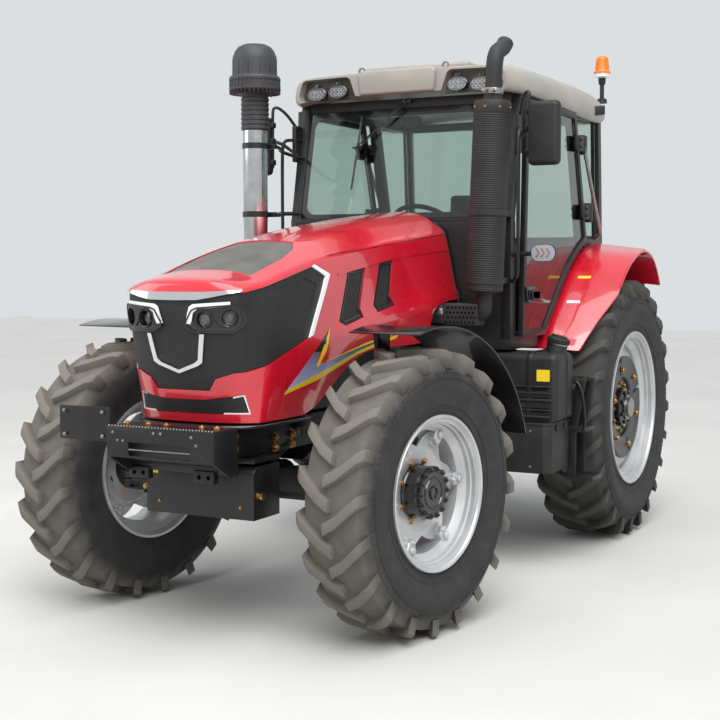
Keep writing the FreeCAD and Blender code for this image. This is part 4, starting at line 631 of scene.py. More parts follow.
# y, low edge z and x, fold z, x and depth, crease z and x, shoulder x and z, z in the middle.
HOOD = [
    (-2.150, 1.062, 0.345, 1.385, 0.385, 0.000, 1.715, 0.350, 0.210, 1.752, 1.768),
    (-1.740, 1.062, 0.352, 1.430, 0.402, 0.010, 1.818, 0.362, 0.230, 1.868, 1.890),
    (-1.250, 1.330, 0.378, 1.500, 0.416, 0.020, 1.880, 0.362, 0.235, 1.965, 1.995),
    (-0.660, 1.351, 0.392, 1.570, 0.424, 0.024, 1.946, 0.350, 0.226, 2.040, 2.072),
    (-0.068, 1.372, 0.405, 1.640, 0.430, 0.026, 2.000, 0.330, 0.215, 2.092, 2.128),
]
# z, half width of the flat front, its y, corner x and y.
NOSE = [
    (1.062, 0.150, -2.262, 0.292, -2.205),
    (1.200, 0.160, -2.305, 0.298, -2.232),
    (1.371, 0.165, -2.344, 0.310, -2.272),
    (1.411, 0.165, -2.350, 0.313, -2.282),
    (1.560, 0.160, -2.376, 0.320, -2.308),
    (1.665, 0.158, -2.372, 0.322, -2.310),
    (1.690, 0.156, -2.358, 0.321, -2.306),
]
# Rows of the rolled brow: how far along from the corner to the seam, y and z in the middle, y and
# z beside the corner.
BROW = [(0.30, -2.350, 1.722, -2.308, 1.712), (0.66, -2.310, 1.742, -2.270, 1.726)]
SHEET = 0.007
LET_IN = 0.007


def hood_side(station):
    """Points up the hood's side at one station, from its low edge to its crease."""
    y, low_z, low_x, fold_z, fold_x, depth, crease_z, crease_x = station[:8]
    low_z = max(low_z, HOOD[0][1])
    over_x, over_z = fold_x - depth, fold_z + 0.028
    return [(low_x, y, low_z), (mix(low_x, fold_x, 0.7), y, mix(low_z, fold_z, 0.5)),
            (fold_x, y, fold_z - 0.012), (over_x, y, over_z),
            (mix(over_x, crease_x, 0.5) + 0.006, y, mix(over_z, crease_z, 0.55)),
            (mix(over_x, crease_x, 0.88) + 0.004, y, mix(over_z, crease_z, 0.92)),
            (crease_x, y, crease_z)]


def hood_form():
    """The hood's outer skin: walls round its nose and sides, and a top that meets them."""
    stations = curved(HOOD, 3)
    walls = []
    for share in (0, 0.5, 1):
        walls.append([(flat * share, y - 0.003 * (1 - share), z) for z, flat, y, cx, cy in NOSE])
    walls.append([(mix(flat, cx, 0.62), mix(y, cy, 0.5), z) for z, flat, y, cx, cy in NOSE])
    corner = [(cx, cy, z) for z, flat, y, cx, cy in NOSE]
    seam = hood_side(stations[0])
    walls.append(corner)
    for share, *_ in BROW:
        walls.append([tuple(mix(a, b, share) for a, b in zip(p, q)) for p, q in zip(corner, seam)])
    walls += [hood_side(station) for station in stations]
    top = [[column[-1] for column in walls[:5]]]
    for i, (share, y, z, side_y, side_z) in enumerate(BROW):
        edge = walls[5 + i][-1]
        top.append([(0, y, z), (0.085, y + 0.001, z), (0.172, mix(y, side_y, 0.15), z - 0.003),
                    (0.262, side_y, side_z), edge])
    for i, station in enumerate(stations):
        y, crease_z, crease_x, shoulder_x, shoulder_z, middle = station[0], *station[6:]
        top.append([(0, y, middle), (shoulder_x * 0.55, y, mix(shoulder_z, middle, 0.78)),
                    (shoulder_x, y, shoulder_z),
                    (mix(crease_x, shoulder_x, 0.16), y, mix(crease_z, shoulder_z, 0.2)),
                    (crease_x, y, crease_z)])
    skin = joined("hood_form", [woven("hood_walls", walls), woven("hood_top", top)])
    edit(skin, close_up)
    modify(skin, "MIRROR", use_axis=(True, False, False), use_clip=True, merge_threshold=0.002)
    edit(skin, close_up)
    return modify(skin, "SUBSURF", levels=2, render_levels=2, boundary_smooth="PRESERVE_CORNERS")


# Windows in the hood, seen from the side: y, z.
MASK = [(-2.60, 1.200), (-2.30, 1.200), (-2.255, 1.300), (-2.183, 1.322), (-1.784, 1.450),
        (-1.650, 1.650), (-1.592, 1.755), (-1.705, 1.797), (-2.145, 1.697), (-2.282, 1.672),
        (-2.60, 1.672)]
# The mask's lower edge from the front: x, z.
MASK_LOW = [(0, 1.216), (0.150, 1.216), (0.186, 1.272), (0.270, 1.300), (0.60, 1.33)]
VENTS = {
    "fore": [(-1.370, 1.778), (-1.180, 1.789), (-1.268, 1.572), (-1.240, 1.528), (-1.435, 1.490),
             (-1.500, 1.512)],
    "aft": [(-1.010, 1.814), (-0.845, 1.830), (-0.920, 1.629), (-0.880, 1.580), (-1.080, 1.548),
            (-1.122, 1.588)],
}
# Seen from above: x, y.
TOP_VENT = [(-0.258, -2.120), (0.258, -2.120), (0.262, -1.840), (0.235, -1.690), (0.170, -1.572),
            (-0.170, -1.572), (-0.235, -1.690), (-0.262, -1.840)]
# Seen from the front: x, z.
CHIN = [(-0.296, 1.196), (-0.110, 1.172), (0.110, 1.172), (0.296, 1.196), (0.308, 1.104),
        (-0.308, 1.104)]
RELIEF = {
    1: [(-0.432, 1.10), (-0.432, 1.470), (-0.405, 1.535), (-0.330, 1.570), (-0.200, 1.590),
        (-0.02, 1.600), (-0.02, 1.10)],
    -1: [(-0.620, 1.10), (-0.620, 1.480), (-0.590, 1.545), (-0.500, 1.580), (-0.200, 1.590),
         (-0.02, 1.600), (-0.02, 1.10)],
}


def shrunk(outline, gap):
    """An outline drawn in by a gap, for what sits in a window."""
    count = len(outline)
    area = sum(outline[i][0] * outline[(i + 1) % count][1] - outline[(i + 1) % count][0]
               * outline[i][1] for i in range(count))
    way = 1 if area > 0 else -1
    made = []
    for i in range(count):
        before, here, after = (Vector(outline[j % count]) for j in (i - 1, i, i + 1))
        a, b = (here - before).normalized(), (after - here).normalized()
        inward = Vector((-a.y - b.y, a.x + b.x)) * way
        made.append(tuple(here + inward * gap / (1 + a.dot(b))))
    return made


def mask_cutter(gap):
    """The wrapped window of the mask, smaller by a gap all round."""
    shape = plate("mask_cutter", shrunk(MASK, gap), 1.2, at(-0.6, 0, 0) @ SIDE)
    low = [(-x, z + gap) for x, z in reversed(MASK_LOW[1:])] + [(x, z + gap) for x, z in MASK_LOW]
    front = plate("mask_front", low + [(0.6, 2.0), (-0.6, 2.0)], 2.0, at(0, -1.0, 0) @ FRONT)
    return boolean(shape, front, "INTERSECT")


# Lamp centres x, y, z and how far each looks outward in degrees.
LAMPS = ((0.153, -2.322, 1.550, 16), (0.249, -2.276, 1.557, 30))


def mirrored(item):
    """The piece itself moved to the tractor's other side."""
    item.data.transform(OTHER_SIDE)
    item.data.flip_normals()
    return item


def lamp_well(x, y, z, lean, side):
    """Cutter for the round hole that a lamp sits in."""
    well = turned("lamp_well", [(0, -0.02), (0.041, -0.02), (0.041, 0.12), (0, 0.12)],
                  at(x, y, z) @ turn(lean, "Z") @ FRONT, 48)
    return well if side == 1 else mirrored(well)


def make_hood():
    """Red skin and black let-in grilles."""
    form = hood_form()
    skin = twin(form)
    skin.name = "hood_skin"
    modify(skin, "SOLIDIFY", thickness=SHEET, offset=-1)
    inner = twin(form)
    modify(inner, "DISPLACE", strength=-LET_IN, mid_level=0)
    modify(inner, "SOLIDIFY", thickness=0.004, offset=-1)
    window_sets = {
        "nose_mask": (mask_cutter(0), mask_cutter(0.002)),
        "chin_grille": tuple(plate("chin", shrunk(CHIN, gap), 0.5, at(0, -2.1, 0) @ FRONT)
                             for gap in (0, 0.002)),
        "top_vent": tuple(plate("vent", shrunk(TOP_VENT, gap), 0.4, at(0, 0, 1.72))
                          for gap in (0, 0.002)),
    }
    for name, outline in VENTS.items():
        window_sets[f"side_vent_{name}"] = tuple(
            plate("side_vent", shrunk(outline, gap), 1.2, at(-0.6, 0, 0) @ SIDE)
            for gap in (0, 0.002))
    for name, (window, filling) in window_sets.items():
        boolean(skin, window)
        insert = twin(inner)
        insert.name = name
        boolean(insert, filling, "INTERSECT")
        if name == "nose_mask":
            for lamp in LAMPS:
                for side in (1, -1):
                    boolean(insert, lamp_well(*lamp, side))
        done(insert, "black_plastic", "hood", DUSTY_GAUZE if name == "top_vent" else GAUZE)
    for side, outline in RELIEF.items():
        boolean(skin, plate("relief", outline, 0.35 * side, at(0.25 * side, 0, 0) @ SIDE))
    done(skin, "red_paint", "hood")
    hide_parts("hood_shell")
    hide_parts("hood_grilles")
    bpy.data.objects.remove(inner)
    return form


def laid(name, outline, stand, form, lift, depth, axis, slot, paint=None, cuts=0.05):
    """A strip cut to an outline, pressed onto the hood's skin and given its thickness."""
    bpy.ops.object.select_all(action="DESELECT")
    bpy.ops.mesh.primitive_circle_add(vertices=len(outline), fill_type="NGON")
    item = bpy.context.object
    item.name = name
    for vertex, (across, up) in zip(item.data.vertices, outline):
        vertex.co = (across, up, 0)
    item.data.transform(stand)
    low = [min(v.co[i] for v in item.data.vertices) for i in range(3)]
    high = [max(v.co[i] for v in item.data.vertices) for i in range(3)]
    for way in range(3):
        if way == axis:
            continue
        for i in range(1, int((high[way] - low[way]) / cuts) + 1):
            spot, normal = [0, 0, 0], [0, 0, 0]
            spot[way], normal[way] = low[way] + i * cuts, 1
            edit(item, lambda: bpy.ops.mesh.bisect(plane_co=spot, plane_no=normal))
    settings = {"use_project_x": axis == 0, "use_project_y": axis == 1,
                "use_project_z": axis == 2}
    modify(item, "SHRINKWRAP", target=form, wrap_method="PROJECT", use_negative_direction=True,
           use_positive_direction=True, offset=lift, **settings)
    modify(item, "SOLIDIFY", thickness=depth, offset=0)
    edit(item, close_up)
    return done(item, slot, "hood", paint, 50)


# Nose: lamps, bezels and bright strips. Outlines seen from the front are x, z.
BROW_STRIP = [(0.066, 1.530), (0.090, 1.608), (0.110, 1.620), (0.284, 1.632), (0.284, 1.612),
              (0.142, 1.597), (0.124, 1.588), (0.094, 1.528)]
BEZEL = [(0.072, 1.540), (0.104, 1.592), (0.130, 1.602), (0.300, 1.616), (0.322, 1.600),
         (0.330, 1.545), (0.318, 1.512), (0.288, 1.492), (0.118, 1.492), (0.070, 1.516)]
# A moulded curl that runs over the inner lamp, between the two and under the outer one.
CURL = [(0.108, 1.542), (0.116, 1.578), (0.142, 1.597), (0.176, 1.598), (0.200, 1.578),
        (0.216, 1.538), (0.238, 1.515), (0.270, 1.511), (0.298, 1.530), (0.302, 1.565)]
SHIELD = [(-0.160, 1.482), (-0.136, 1.350), (-0.110, 1.334), (0, 1.296), (0.110, 1.334),
          (0.136, 1.350), (0.160, 1.482), (0.136, 1.482), (0.114, 1.362), (0.092, 1.346),
          (0, 1.313), (-0.092, 1.346), (-0.114, 1.362), (-0.136, 1.482)]
LIP = [(-0.322, 1.682), (-0.318, 1.674), (-0.200, 1.650), (-0.130, 1.638), (0, 1.636),
       (0.130, 1.638), (0.200, 1.650), (0.318, 1.674), (0.322, 1.682), (0.150, 1.675),
       (-0.150, 1.675)]
CHIN_TRIM = [(0.246, 1.188), (0.297, 1.199), (0.313, 1.096), (0.190, 1.094), (0.196, 1.110),
             (0.300, 1.110), (0.288, 1.190), (0.246, 1.181)]
# Strips and decals seen from the side: y, z.
BOOMERANG = [(-1.796, 1.446), (-1.760, 1.456), (-1.560, 1.754), (-1.703, 1.802), (-1.728, 1.792),
             (-1.606, 1.744), (-1.650, 1.668)]
EMBOSS = [(-2.060, 1.690), (-1.808, 1.745), (-1.690, 1.708), (-1.745, 1.600), (-1.750, 1.604),
          (-1.698, 1.706), (-1.808, 1.739), (-2.060, 1.684)]
BODY = [(-1.985, 1.196), (-1.752, 1.372), (-1.700, 1.385), (-1.722, 1.322), (-1.640, 1.312),
        (-1.180, 1.384), (-0.960, 1.410), (-1.290, 1.345), (-1.690, 1.258)]
SPIKE_DARK = [(-1.752, 1.372), (-1.600, 1.486), (-1.650, 1.405), (-1.690, 1.372)]
SPIKE_GOLD = [(-1.600, 1.486), (-1.638, 1.372), (-1.706, 1.296), (-1.724, 1.300), (-1.668, 1.396)]
LINE_LOW = [(-2.000, 1.180), (-1.980, 1.200), (-1.690, 1.262), (-1.290, 1.348), (-0.960, 1.404),
            (-0.830, 1.420), (-0.850, 1.400), (-1.270, 1.334), (-1.690, 1.232)]
LINE_TOP = [(-1.640, 1.318), (-1.200, 1.392), (-0.830, 1.430), (-0.960, 1.412), (-1.300, 1.366)]


def bezel(form):
    """Lamp housing of one side: a glossy panel on the nose, and two lamps in their rings."""
    front = at(0, -2.6, 0) @ FRONT
    panel = laid("headlamp_panel", BEZEL, front, form, 0.0, 0.010, 1, "black_plastic", GLOSS, 0.02)
    for lamp in LAMPS:
        boolean(panel, lamp_well(*lamp, 1))
    rings, lenses = [panel], []
    for name, line, width in (("lamp_rim", BEZEL + BEZEL[:1], 0.007), ("lamp_curl", CURL, 0.006)):
        rings.append(laid(name, band(line, width), front, form, 0.008, 0.007, 1, "black_plastic",
                          GLOSS, 0.02))
    for x, y, z, lean in LAMPS:
        here = at(x, y, z) @ turn(lean, "Z") @ FRONT
        rings.append(turned("lamp_ring", [(0.031, 0), (0.043, 0), (0.044, 0.048), (0.041, 0.054),
                                          (0.038, 0.053), (0.034, 0.034), (0.033, 0.020)], here))
        lenses.append(turned("lamp_glass", [(0, 0.002), (0.030, 0.002), (0.033, 0.010),
                                            (0.033, 0.024), (0.028, 0.031), (0.016, 0.036),
                                            (0, 0.038)], here, 32))
        rings.append(turned("lamp_core", [(0, 0), (0.014, 0), (0.014, 0.014), (0.009, 0.018),
                                          (0, 0.019)], at(0, 0.0015, 0) @ here, 24))
    return joined("headlamp_housings", rings), joined("headlamp_lenses", lenses)


def make_nose(form):
    front, side = at(0, -2.6, 0) @ FRONT, at(0.6, 0, 0) @ SIDE
    housing, lenses = bezel(form)
    done(both(housing), "black_plastic", "hood", GLOSS)
    lenses = done(both(lenses), "lamp_lens", "hood")
    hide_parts("headlamps")
    strips = [("brow_strips", BROW_STRIP, "lamp_lens", WHITE, 0.010, 0.010),
              ("shield_strip", SHIELD, "chrome_trim", None, 0.008, 0.012),
              ("lip_strip", LIP, "chrome_trim", None, 0.009, 0.014),
              ("chin_trim", CHIN_TRIM, "chrome_trim", WHITE, 0.001, 0.006)]
    for name, outline, slot, paint, lift, depth in strips:
        item = laid(name, outline, front, form, lift - LET_IN, depth, 1, slot, paint)
        if name in ("brow_strips", "chin_trim"):
            done(both(item), slot, "hood", paint, 50)
    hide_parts("nose_trim")
    for name, outline, slot, paint, lift, depth in (
            ("boomerang", BOOMERANG, "chrome_trim", WHITE, 0.004 - LET_IN, 0.010),
            ("mask_emboss", EMBOSS, "black_plastic", None, 0.001 - LET_IN, 0.004),
            ("decal_body", BODY, "red_paint", BLUE, 0.0006, 0.0006),
            ("decal_spike", SPIKE_DARK, "red_paint", GLOSS, 0.0008, 0.0006),
            ("decal_edge", SPIKE_GOLD, "red_paint", YELLOW, 0.0012, 0.0006),
            ("decal_line", LINE_LOW, "red_paint", YELLOW, 0.0012, 0.0006),
            ("decal_top_line", LINE_TOP, "red_paint", YELLOW, 0.0012, 0.0006)):
        item = laid(name, outline, side, form, lift, depth, 0, slot, paint)
        done(both(item), slot, "hood", paint, 50)


# Wheels. Each is modelled about its own axle, X outboard, and stood in place.
CENTRES = {"front": Vector((0.865 - 0.660, 0, 0)), "rear": Vector((0.908, 1.300, 0.852))}
KINGPIN = at(0.660, -1.580, 0.702)
SWIVEL = at(-0.660, -1.580, 0.702)
PARKED = turn(-9, "Z")
WHEELS = {
    "front_left": KINGPIN @ PARKED @ at(*CENTRES["front"]),
    "front_right": SWIVEL @ PARKED @ OTHER_SIDE @ at(*CENTRES["front"]),
    "rear_left": at(*CENTRES["rear"]),
    "rear_right": OTHER_SIDE @ at(*CENTRES["rear"]),
}
# A wheel lies along Z while it is made; this stands it with Z outboard.
AXLE = SIDE


def barrel(radius, half):
    """Rolled rim: flanges, bead seats, ridges and a drop centre, as (radius, along)."""
    r, h = radius, half
    inside = [(r - 0.004, h + 0.004), (r - 0.014, h - 0.001), (r - 0.020, h - 0.014),
              (r - 0.036, h - 0.018), (r - 0.037, h - 0.040), (r - 0.044, h - 0.046),
              (r - 0.046, h - 0.066), (r - 0.060, h - 0.078), (r - 0.080, h - 0.098),
              (r - 0.083, 0.02), (r - 0.083, -0.06), (r - 0.058, -h + 0.080),
              (r - 0.044, -h + 0.050), (r - 0.036, -h + 0.018), (r - 0.014, -h)]
    outside = [(r, -h), (r, -h + 0.011), (r - 0.026, -h + 0.012), (r - 0.032, -h + 0.055),
               (r - 0.062, -h + 0.090), (r - 0.062, h - 0.090), (r - 0.032, h - 0.055),
               (r - 0.026, h - 0.012), (r, h - 0.011), (r, h)]
    return inside + outside


def nut(size, height, stand):
    """Hexagon nut on its washer, with the stud's end standing out."""
    hexagon = [(size * math.cos(math.radians(60 * i)), size * math.sin(math.radians(60 * i)))
               for i in range(6)]
    body = plate("nut", hexagon, height, at(0, 0, size * 0.18), size * 0.10, 1)
    washer = turned("washer", [(0, 0), (size * 1.18, 0), (size * 1.18, size * 0.18), (0, size * 0.2)],
                    HERE, 16)
    stud = turned("stud", [(0, 0), (size * 0.5, 0), (size * 0.5, height + size * 0.42),
                           (size * 0.42, height + size * 0.52), (0, height + size * 0.52)],
                  HERE, 12)
    made = joined("nut", [body, washer, stud])
    made.data.transform(stand)
    return made


def ring_of(item, count, radius, along, start=0.0):
    """Copies of a piece in a ring about the axle."""
    made = [twin(item, at(radius, 0, along), turn(start + 360 / count * i, "Z"))
            for i in range(count)]
    bpy.data.objects.remove(item)
    return joined("ring", made)


def spider(radius_in, arm, waist, arms, level, thickness, ridge):
    """A dished disc with arms: a polar grid whose outer edge waves in and out."""
    around, out = 144, 12
    rows = []
    for j in range(out + 1):
        row = []
        for i in range(around + 1):
            angle = math.tau * i / around
            wave = (0.5 + 0.5 * math.cos(arms * angle)) ** 0.7
            reach = mix(waist, arm, wave)
            radius = mix(radius_in, reach, j / out)
            rise = ridge * (1 / (1 + math.exp(-(radius - mix(radius_in, waist, 0.55)) / 0.008)))
            crest = ridge * 0.5 * math.exp(-((radius - waist * 0.93) / 0.016) ** 2)
            row.append((radius * math.cos(angle), radius * math.sin(angle), level + rise + crest))
        rows.append(row)
    disc = edit(woven("spider", rows), close_up)
    return modify(disc, "SOLIDIFY", thickness=thickness, offset=0)


def rim_lug():
    """Clamp lug welded in the rim: a block with a rounded nose and its clamp bolt."""
    lug = block("rim_lug", (-0.034, -0.032, -0.040), (0.036, 0.032, 0.030), 0.012, 3)
    pad = block("rim_pad", (-0.058, -0.024, -0.040), (-0.02, 0.024, 0.008), 0.006, 2)
    bolt = nut(0.018, 0.022, at(-0.034, 0, 0.006))
    nose = turned("lug_nose", [(0, 0.01), (0.020, 0.01), (0.020, 0.040), (0.014, 0.046),
                               (0, 0.046)], at(0.004, 0, 0), 20)
    return joined("rim_lug", [lug, pad, bolt, nose])


def front_wheel():
    """Parts of a front wheel by finish."""
    disc = spider(0.060, 0.300, 0.222, 6, 0.012, 0.012, 0.020)
    disc.data.transform(turn(6, "Z"))
    lugs = ring_of(rim_lug(), 6, 0.290, 0.050, 6)
    back = turned("hub_back", [(0.0, -0.05), (0.132, -0.05), (0.132, -0.004), (0.0, -0.004)],
                  HERE, 48)
    rim = joined("rim", [turned("barrel", barrel(0.381, 0.165), HERE, 120), disc, lugs])
    nuts = ring_of(nut(0.0165, 0.016, HERE), 8, 0.152, 0.020, 22.5)
    drum = turned("hub_drum", [(0, -0.05), (0.134, -0.05), (0.134, 0.030), (0.128, 0.038),
                               (0.128, 0.100), (0.122, 0.106), (0, 0.106)], HERE, 64)
    cover = turned("hub_cover", [(0, 0.098), (0.118, 0.098), (0.118, 0.124), (0.112, 0.128),
                                 (0.100, 0.129), (0.080, 0.126), (0.076, 0.132), (0.070, 0.132),
                                 (0.066, 0.126), (0.036, 0.126), (0.033, 0.134), (0.026, 0.134),
                                 (0.023, 0.126), (0, 0.125)], HERE, 64)
    boss = turned("cover_boss", [(0, 0.095), (0.0165, 0.095), (0.0165, 0.130), (0.013, 0.133),
                                 (0, 0.133)], HERE, 16)
    bosses = ring_of(boss, 14, 0.113, 0)
    bolts = ring_of(nut(0.0085, 0.008, at(0, 0, 0.131)), 14, 0.113, 0)
    hub = joined("hub", [drum, back, cover, bosses, bolts])
    return {"rim": (rim, "wheel_silver", None), "hub": (hub, "black_casting", GLOSS_CAST),
            "nuts": (nuts, "bare_steel", ZINC)}


def rear_wheel():
    rim = joined("rim", [turned("barrel", barrel(0.508, 0.205), HERE, 144),
                         turned("rim_cone", [(0.420, 0.088), (0.434, 0.082), (0.345, 0.112),
                                             (0.320, 0.116), (0.320, 0.126), (0.345, 0.124)],
                                HERE, 96)])
    face = turned("disc", [(0.198, 0.118), (0.204, 0.128), (0.225, 0.134), (0.300, 0.136),
                           (0.312, 0.144), (0.336, 0.145), (0.342, 0.138), (0.342, 0.112),
                           (0.204, 0.106)], HERE, 96)
    slots = []
    for i in range(4):
        slots.append(block("slot", (0.225, -0.014, 0.05), (0.50, 0.014, 0.2), 0.004))
        slots[-1].data.transform(turn(90 * i + 20, "Z"))
    boolean(face, joined("slots", slots))
    back = turned("disc_back", [(0.0, 0.064), (0.330, 0.064), (0.330, 0.108), (0.198, 0.104),
                                (0.0, 0.100)], HERE, 64)
    nuts = ring_of(nut(0.018, 0.018, HERE), 6, 0.262, 0.136, 46)
    small = ring_of(nut(0.013, 0.014, HERE), 12, 0.160, 0.102, 0)
    hub = turned("rear_hub", [(0, 0.088), (0.186, 0.088), (0.186, 0.102), (0.132, 0.106),
                              (0.128, 0.138), (0.114, 0.146), (0.088, 0.150), (0.086, 0.162),
                              (0, 0.162)], HERE, 64)
    bolts = ring_of(nut(0.014, 0.014, HERE), 8, 0.104, 0.146, 22.5)
    cap = turned("hub_cap", [(0, 0.150), (0.064, 0.150), (0.064, 0.182), (0.058, 0.188),
                             (0, 0.188)], HERE, 48)
    return {"rim": (rim, "wheel_silver", None),
            "disc": (joined("disc", [face, back]), "black_casting", DISC_GREY),
            "hub": (joined("hub", [hub, bolts]), "black_casting", GLOSS_CAST),
            "cap": (cap, "bare_steel", None),
            "nuts": (joined("nuts", [nuts, small]), "bare_steel", ZINC)}


def make_wheels():
    for end, build in (("front", front_wheel), ("rear", rear_wheel)):
        parts = build()
        for side in ("left", "right"):
            stand = WHEELS[f"{end}_{side}"] @ AXLE
            for key, (item, slot, paint) in parts.items():
                piece = twin(item, stand)
                piece.name = f"{end}_{side}_wheel_{key}"
                done(piece, slot, f"wheel_{end}_{side}", paint)
                if key == "rim":
                    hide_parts(f"{end}_{side}_rim")
        for item, slot, paint in parts.values():
            bpy.data.objects.remove(item)


# Edges of the plain parts

# How far the edges of CAD nodes are broken.
EDGED = {
    "cab_frame": 0.006, "cab_floor": 0.004, "rear_fenders": 0.003, "fuel_tank": 0.008,
    "battery_box": 0.008, "front_axle": 0.008, "engine_block": 0.012, "transmission_case": 0.012,
    "rear_axle_housing": 0.008, "front_frame": 0.004, "steps": 0.003, "cab_interior": 0.014,
    "drawbar": 0.004, "weight_bracket": 0.003, "front_toolbox": 0.005, "lift_arms": 0.005,
    "lift_rods": 0.004, "lower_links": 0.004, "tie_rod": 0.004, "knuckle_left": 0.006,
    "knuckle_right": 0.006, "front_fender_left": 0.0015, "front_fender_right": 0.0015,
    "door_left": 0.005, "door_right": 0.005, "steering_wheel": 0.003, "front_left_tyre": 0.006,
    "front_right_tyre": 0.006, "rear_left_tyre": 0.006, "rear_right_tyre": 0.006,
}


def edge_parts():
    """Show the CAD nodes' shapes with their sharp edges broken."""
    for name, width in EDGED.items():
        source = nodes[name]
        item = bpy.data.objects.new(f"{name}_edged", source.data.copy())
        bpy.context.scene.collection.objects.link(item)
        item.data.transform(source.matrix_world)
        pick(item)
        bpy.ops.mesh.customdata_custom_splitnormals_clear()
        edit(item, lambda: bpy.ops.mesh.remove_doubles(threshold=0.00005),
             lambda: bpy.ops.mesh.dissolve_limited(angle_limit=math.radians(0.5)))
        rounded(item, width)
        done(item, SLOT_OF[name], BODY_OF[name], paint_of(name))
        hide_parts(name)


# Cab

# Half a section of the roof at each station: y, then x and z from the underside to the crown.
ROOF_FORM = (
    (-0.030, 0.640, 2.836, 0.668, 2.818, 0.700, 2.824, 0.716, 2.850, 0.706, 2.930, 0.672, 2.972, 2.984),
    (0.030, 0.690, 2.838, 0.716, 2.812, 0.752, 2.818, 0.768, 2.846, 0.758, 2.930, 0.720, 2.982, 2.998),
    (0.180, 0.700, 2.840, 0.757, 2.806, 0.782, 2.812, 0.798, 2.842, 0.792, 2.925, 0.742, 2.984, 3.018),
    (0.600, 0.700, 2.840, 0.757, 2.800, 0.786, 2.806, 0.804, 2.838, 0.800, 2.918, 0.744, 2.984, 3.045),
    (1.000, 0.700, 2.840, 0.757, 2.775, 0.786, 2.780, 0.804, 2.815, 0.800, 2.910, 0.744, 2.982, 3.055),
    (1.400, 0.700, 2.840, 0.757, 2.757, 0.786, 2.762, 0.804, 2.797, 0.800, 2.905, 0.744, 2.976, 3.045),
    (1.620, 0.690, 2.840, 0.750, 2.772, 0.778, 2.778, 0.796, 2.808, 0.790, 2.895, 0.730, 2.950, 3.005),
    (1.790, 0.640, 2.842, 0.690, 2.820, 0.716, 2.824, 0.732, 2.845, 0.724, 2.880, 0.680, 2.905, 2.940),
)
# Seen from the front: x, z.
LAMP_BAY = [(0.284, 2.826), (0.330, 2.955), (0.352, 2.968), (0.640, 2.962), (0.668, 2.950),
            (0.694, 2.866), (0.682, 2.832)]
ROOF_PANEL = [(-0.250, 2.846), (-0.262, 2.968), (-0.244, 2.992), (0.244, 2.992), (0.262, 2.968),
              (0.250, 2.846)]
ROOF_LAMPS = ((0.405, 2.876), (0.553, 2.868))


def round_plate(name, low, high, radius, thickness, stand, bevel=0.0):
    """A plate with round corners."""
    return plate(name, pill(low, high, radius), thickness, stand, bevel)


def make_roof():
    """Fibreglass roof: a crowned cap with a drooping skirt, lamp bays and a proud panel between."""
    rows = []
    for y, *points in ROOF_FORM:
        x_in, z_in, x0, z0, x1, z1, x2, z2, x3, z3, x4, z4, crown = points
        rows.append([(0, y, z_in + 0.02), (x_in, y, z_in), (x0, y, z0), (x1, y, z1), (x2, y, z2),
                     (x3, y, z3), (x4, y, z4), (x4 * 0.8, y, mix(z4, crown, 0.5)),
                     (x4 * 0.45, y, mix(z4, crown, 0.9)), (0, y, crown)])
    roof = woven("cab_roof_shell", rows)
    modify(roof, "MIRROR", use_axis=(True, False, False), use_clip=True, merge_threshold=0.002)
    modify(roof, "SUBSURF", levels=2, render_levels=2, boundary_smooth="PRESERVE_CORNERS")
    edit(roof, close_up, capped, close_up)
    rounded(roof, 0.008, 3, 50)
    bays = [plate("bay", LAMP_BAY, 0.20, at(0, 0.030, 0) @ FRONT, 0.010, 2)]
    bays.append(twin(bays[0], OTHER_SIDE))
    boolean(roof, joined("bays", bays))
    done(roof, "roof_grey", "chassis", None, 40)
    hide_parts("cab_roof")
    panel = plate("roof_front_panel", ROOF_PANEL, 0.075, at(0, 0.02, 0) @ FRONT, 0.014, 3)
    done(panel, "roof_grey")
    # A thin sheet of darker gel coat on the back wall of each lamp bay: painted shade.
    bay_shade_sheet = plate("lamp_bay_lining", shrunk(LAMP_BAY, 0.004), 0.004, at(0, 0.030, 0) @ FRONT)
    done(both(bay_shade_sheet), "roof_grey", "chassis", PAINTED_SHADE_GEL_COAT)
    ribs = []
    for i in range(4):
        y = 0.62 + 0.22 * i
        ribs.append(block("roof_rib", (-0.50, y - 0.035, 3.02), (0.50, y + 0.035, 3.068 - 0.002 * i),
                          0.014, 3))
    hatch = block("roof_hatch", (-0.36, 0.22, 3.0), (0.36, 0.52, 3.052), 0.018, 3)
    done(joined("roof_ribs", ribs + [hatch]), "roof_grey")
    louvres = []
    for i in range(7):
        y = 1.36 + 0.030 * i
        louvres.append(block("louvre", (0.786, y, 2.806), (0.808, y + 0.014, 2.868), 0.003))
        louvres[-1].data.transform(at(0, 0, 0.004 * i))
    done(both(joined("roof_louvres", louvres)), "black_plastic")
    eyes = []
    for x in (-0.285, 0.285):
        eye = turned("lifting_eye", [(0.013, -0.005), (0.024, -0.005), (0.024, 0.005), (0.013, 0.005)],
                     at(x, 0.05, 3.006) @ FRONT, 24)
        eyes += [eye, bar("eye_shank", (x, 0.05, 2.96), (x, 0.05, 2.990), 0.009)]
    done(joined("lifting_eyes", eyes), "bare_steel")


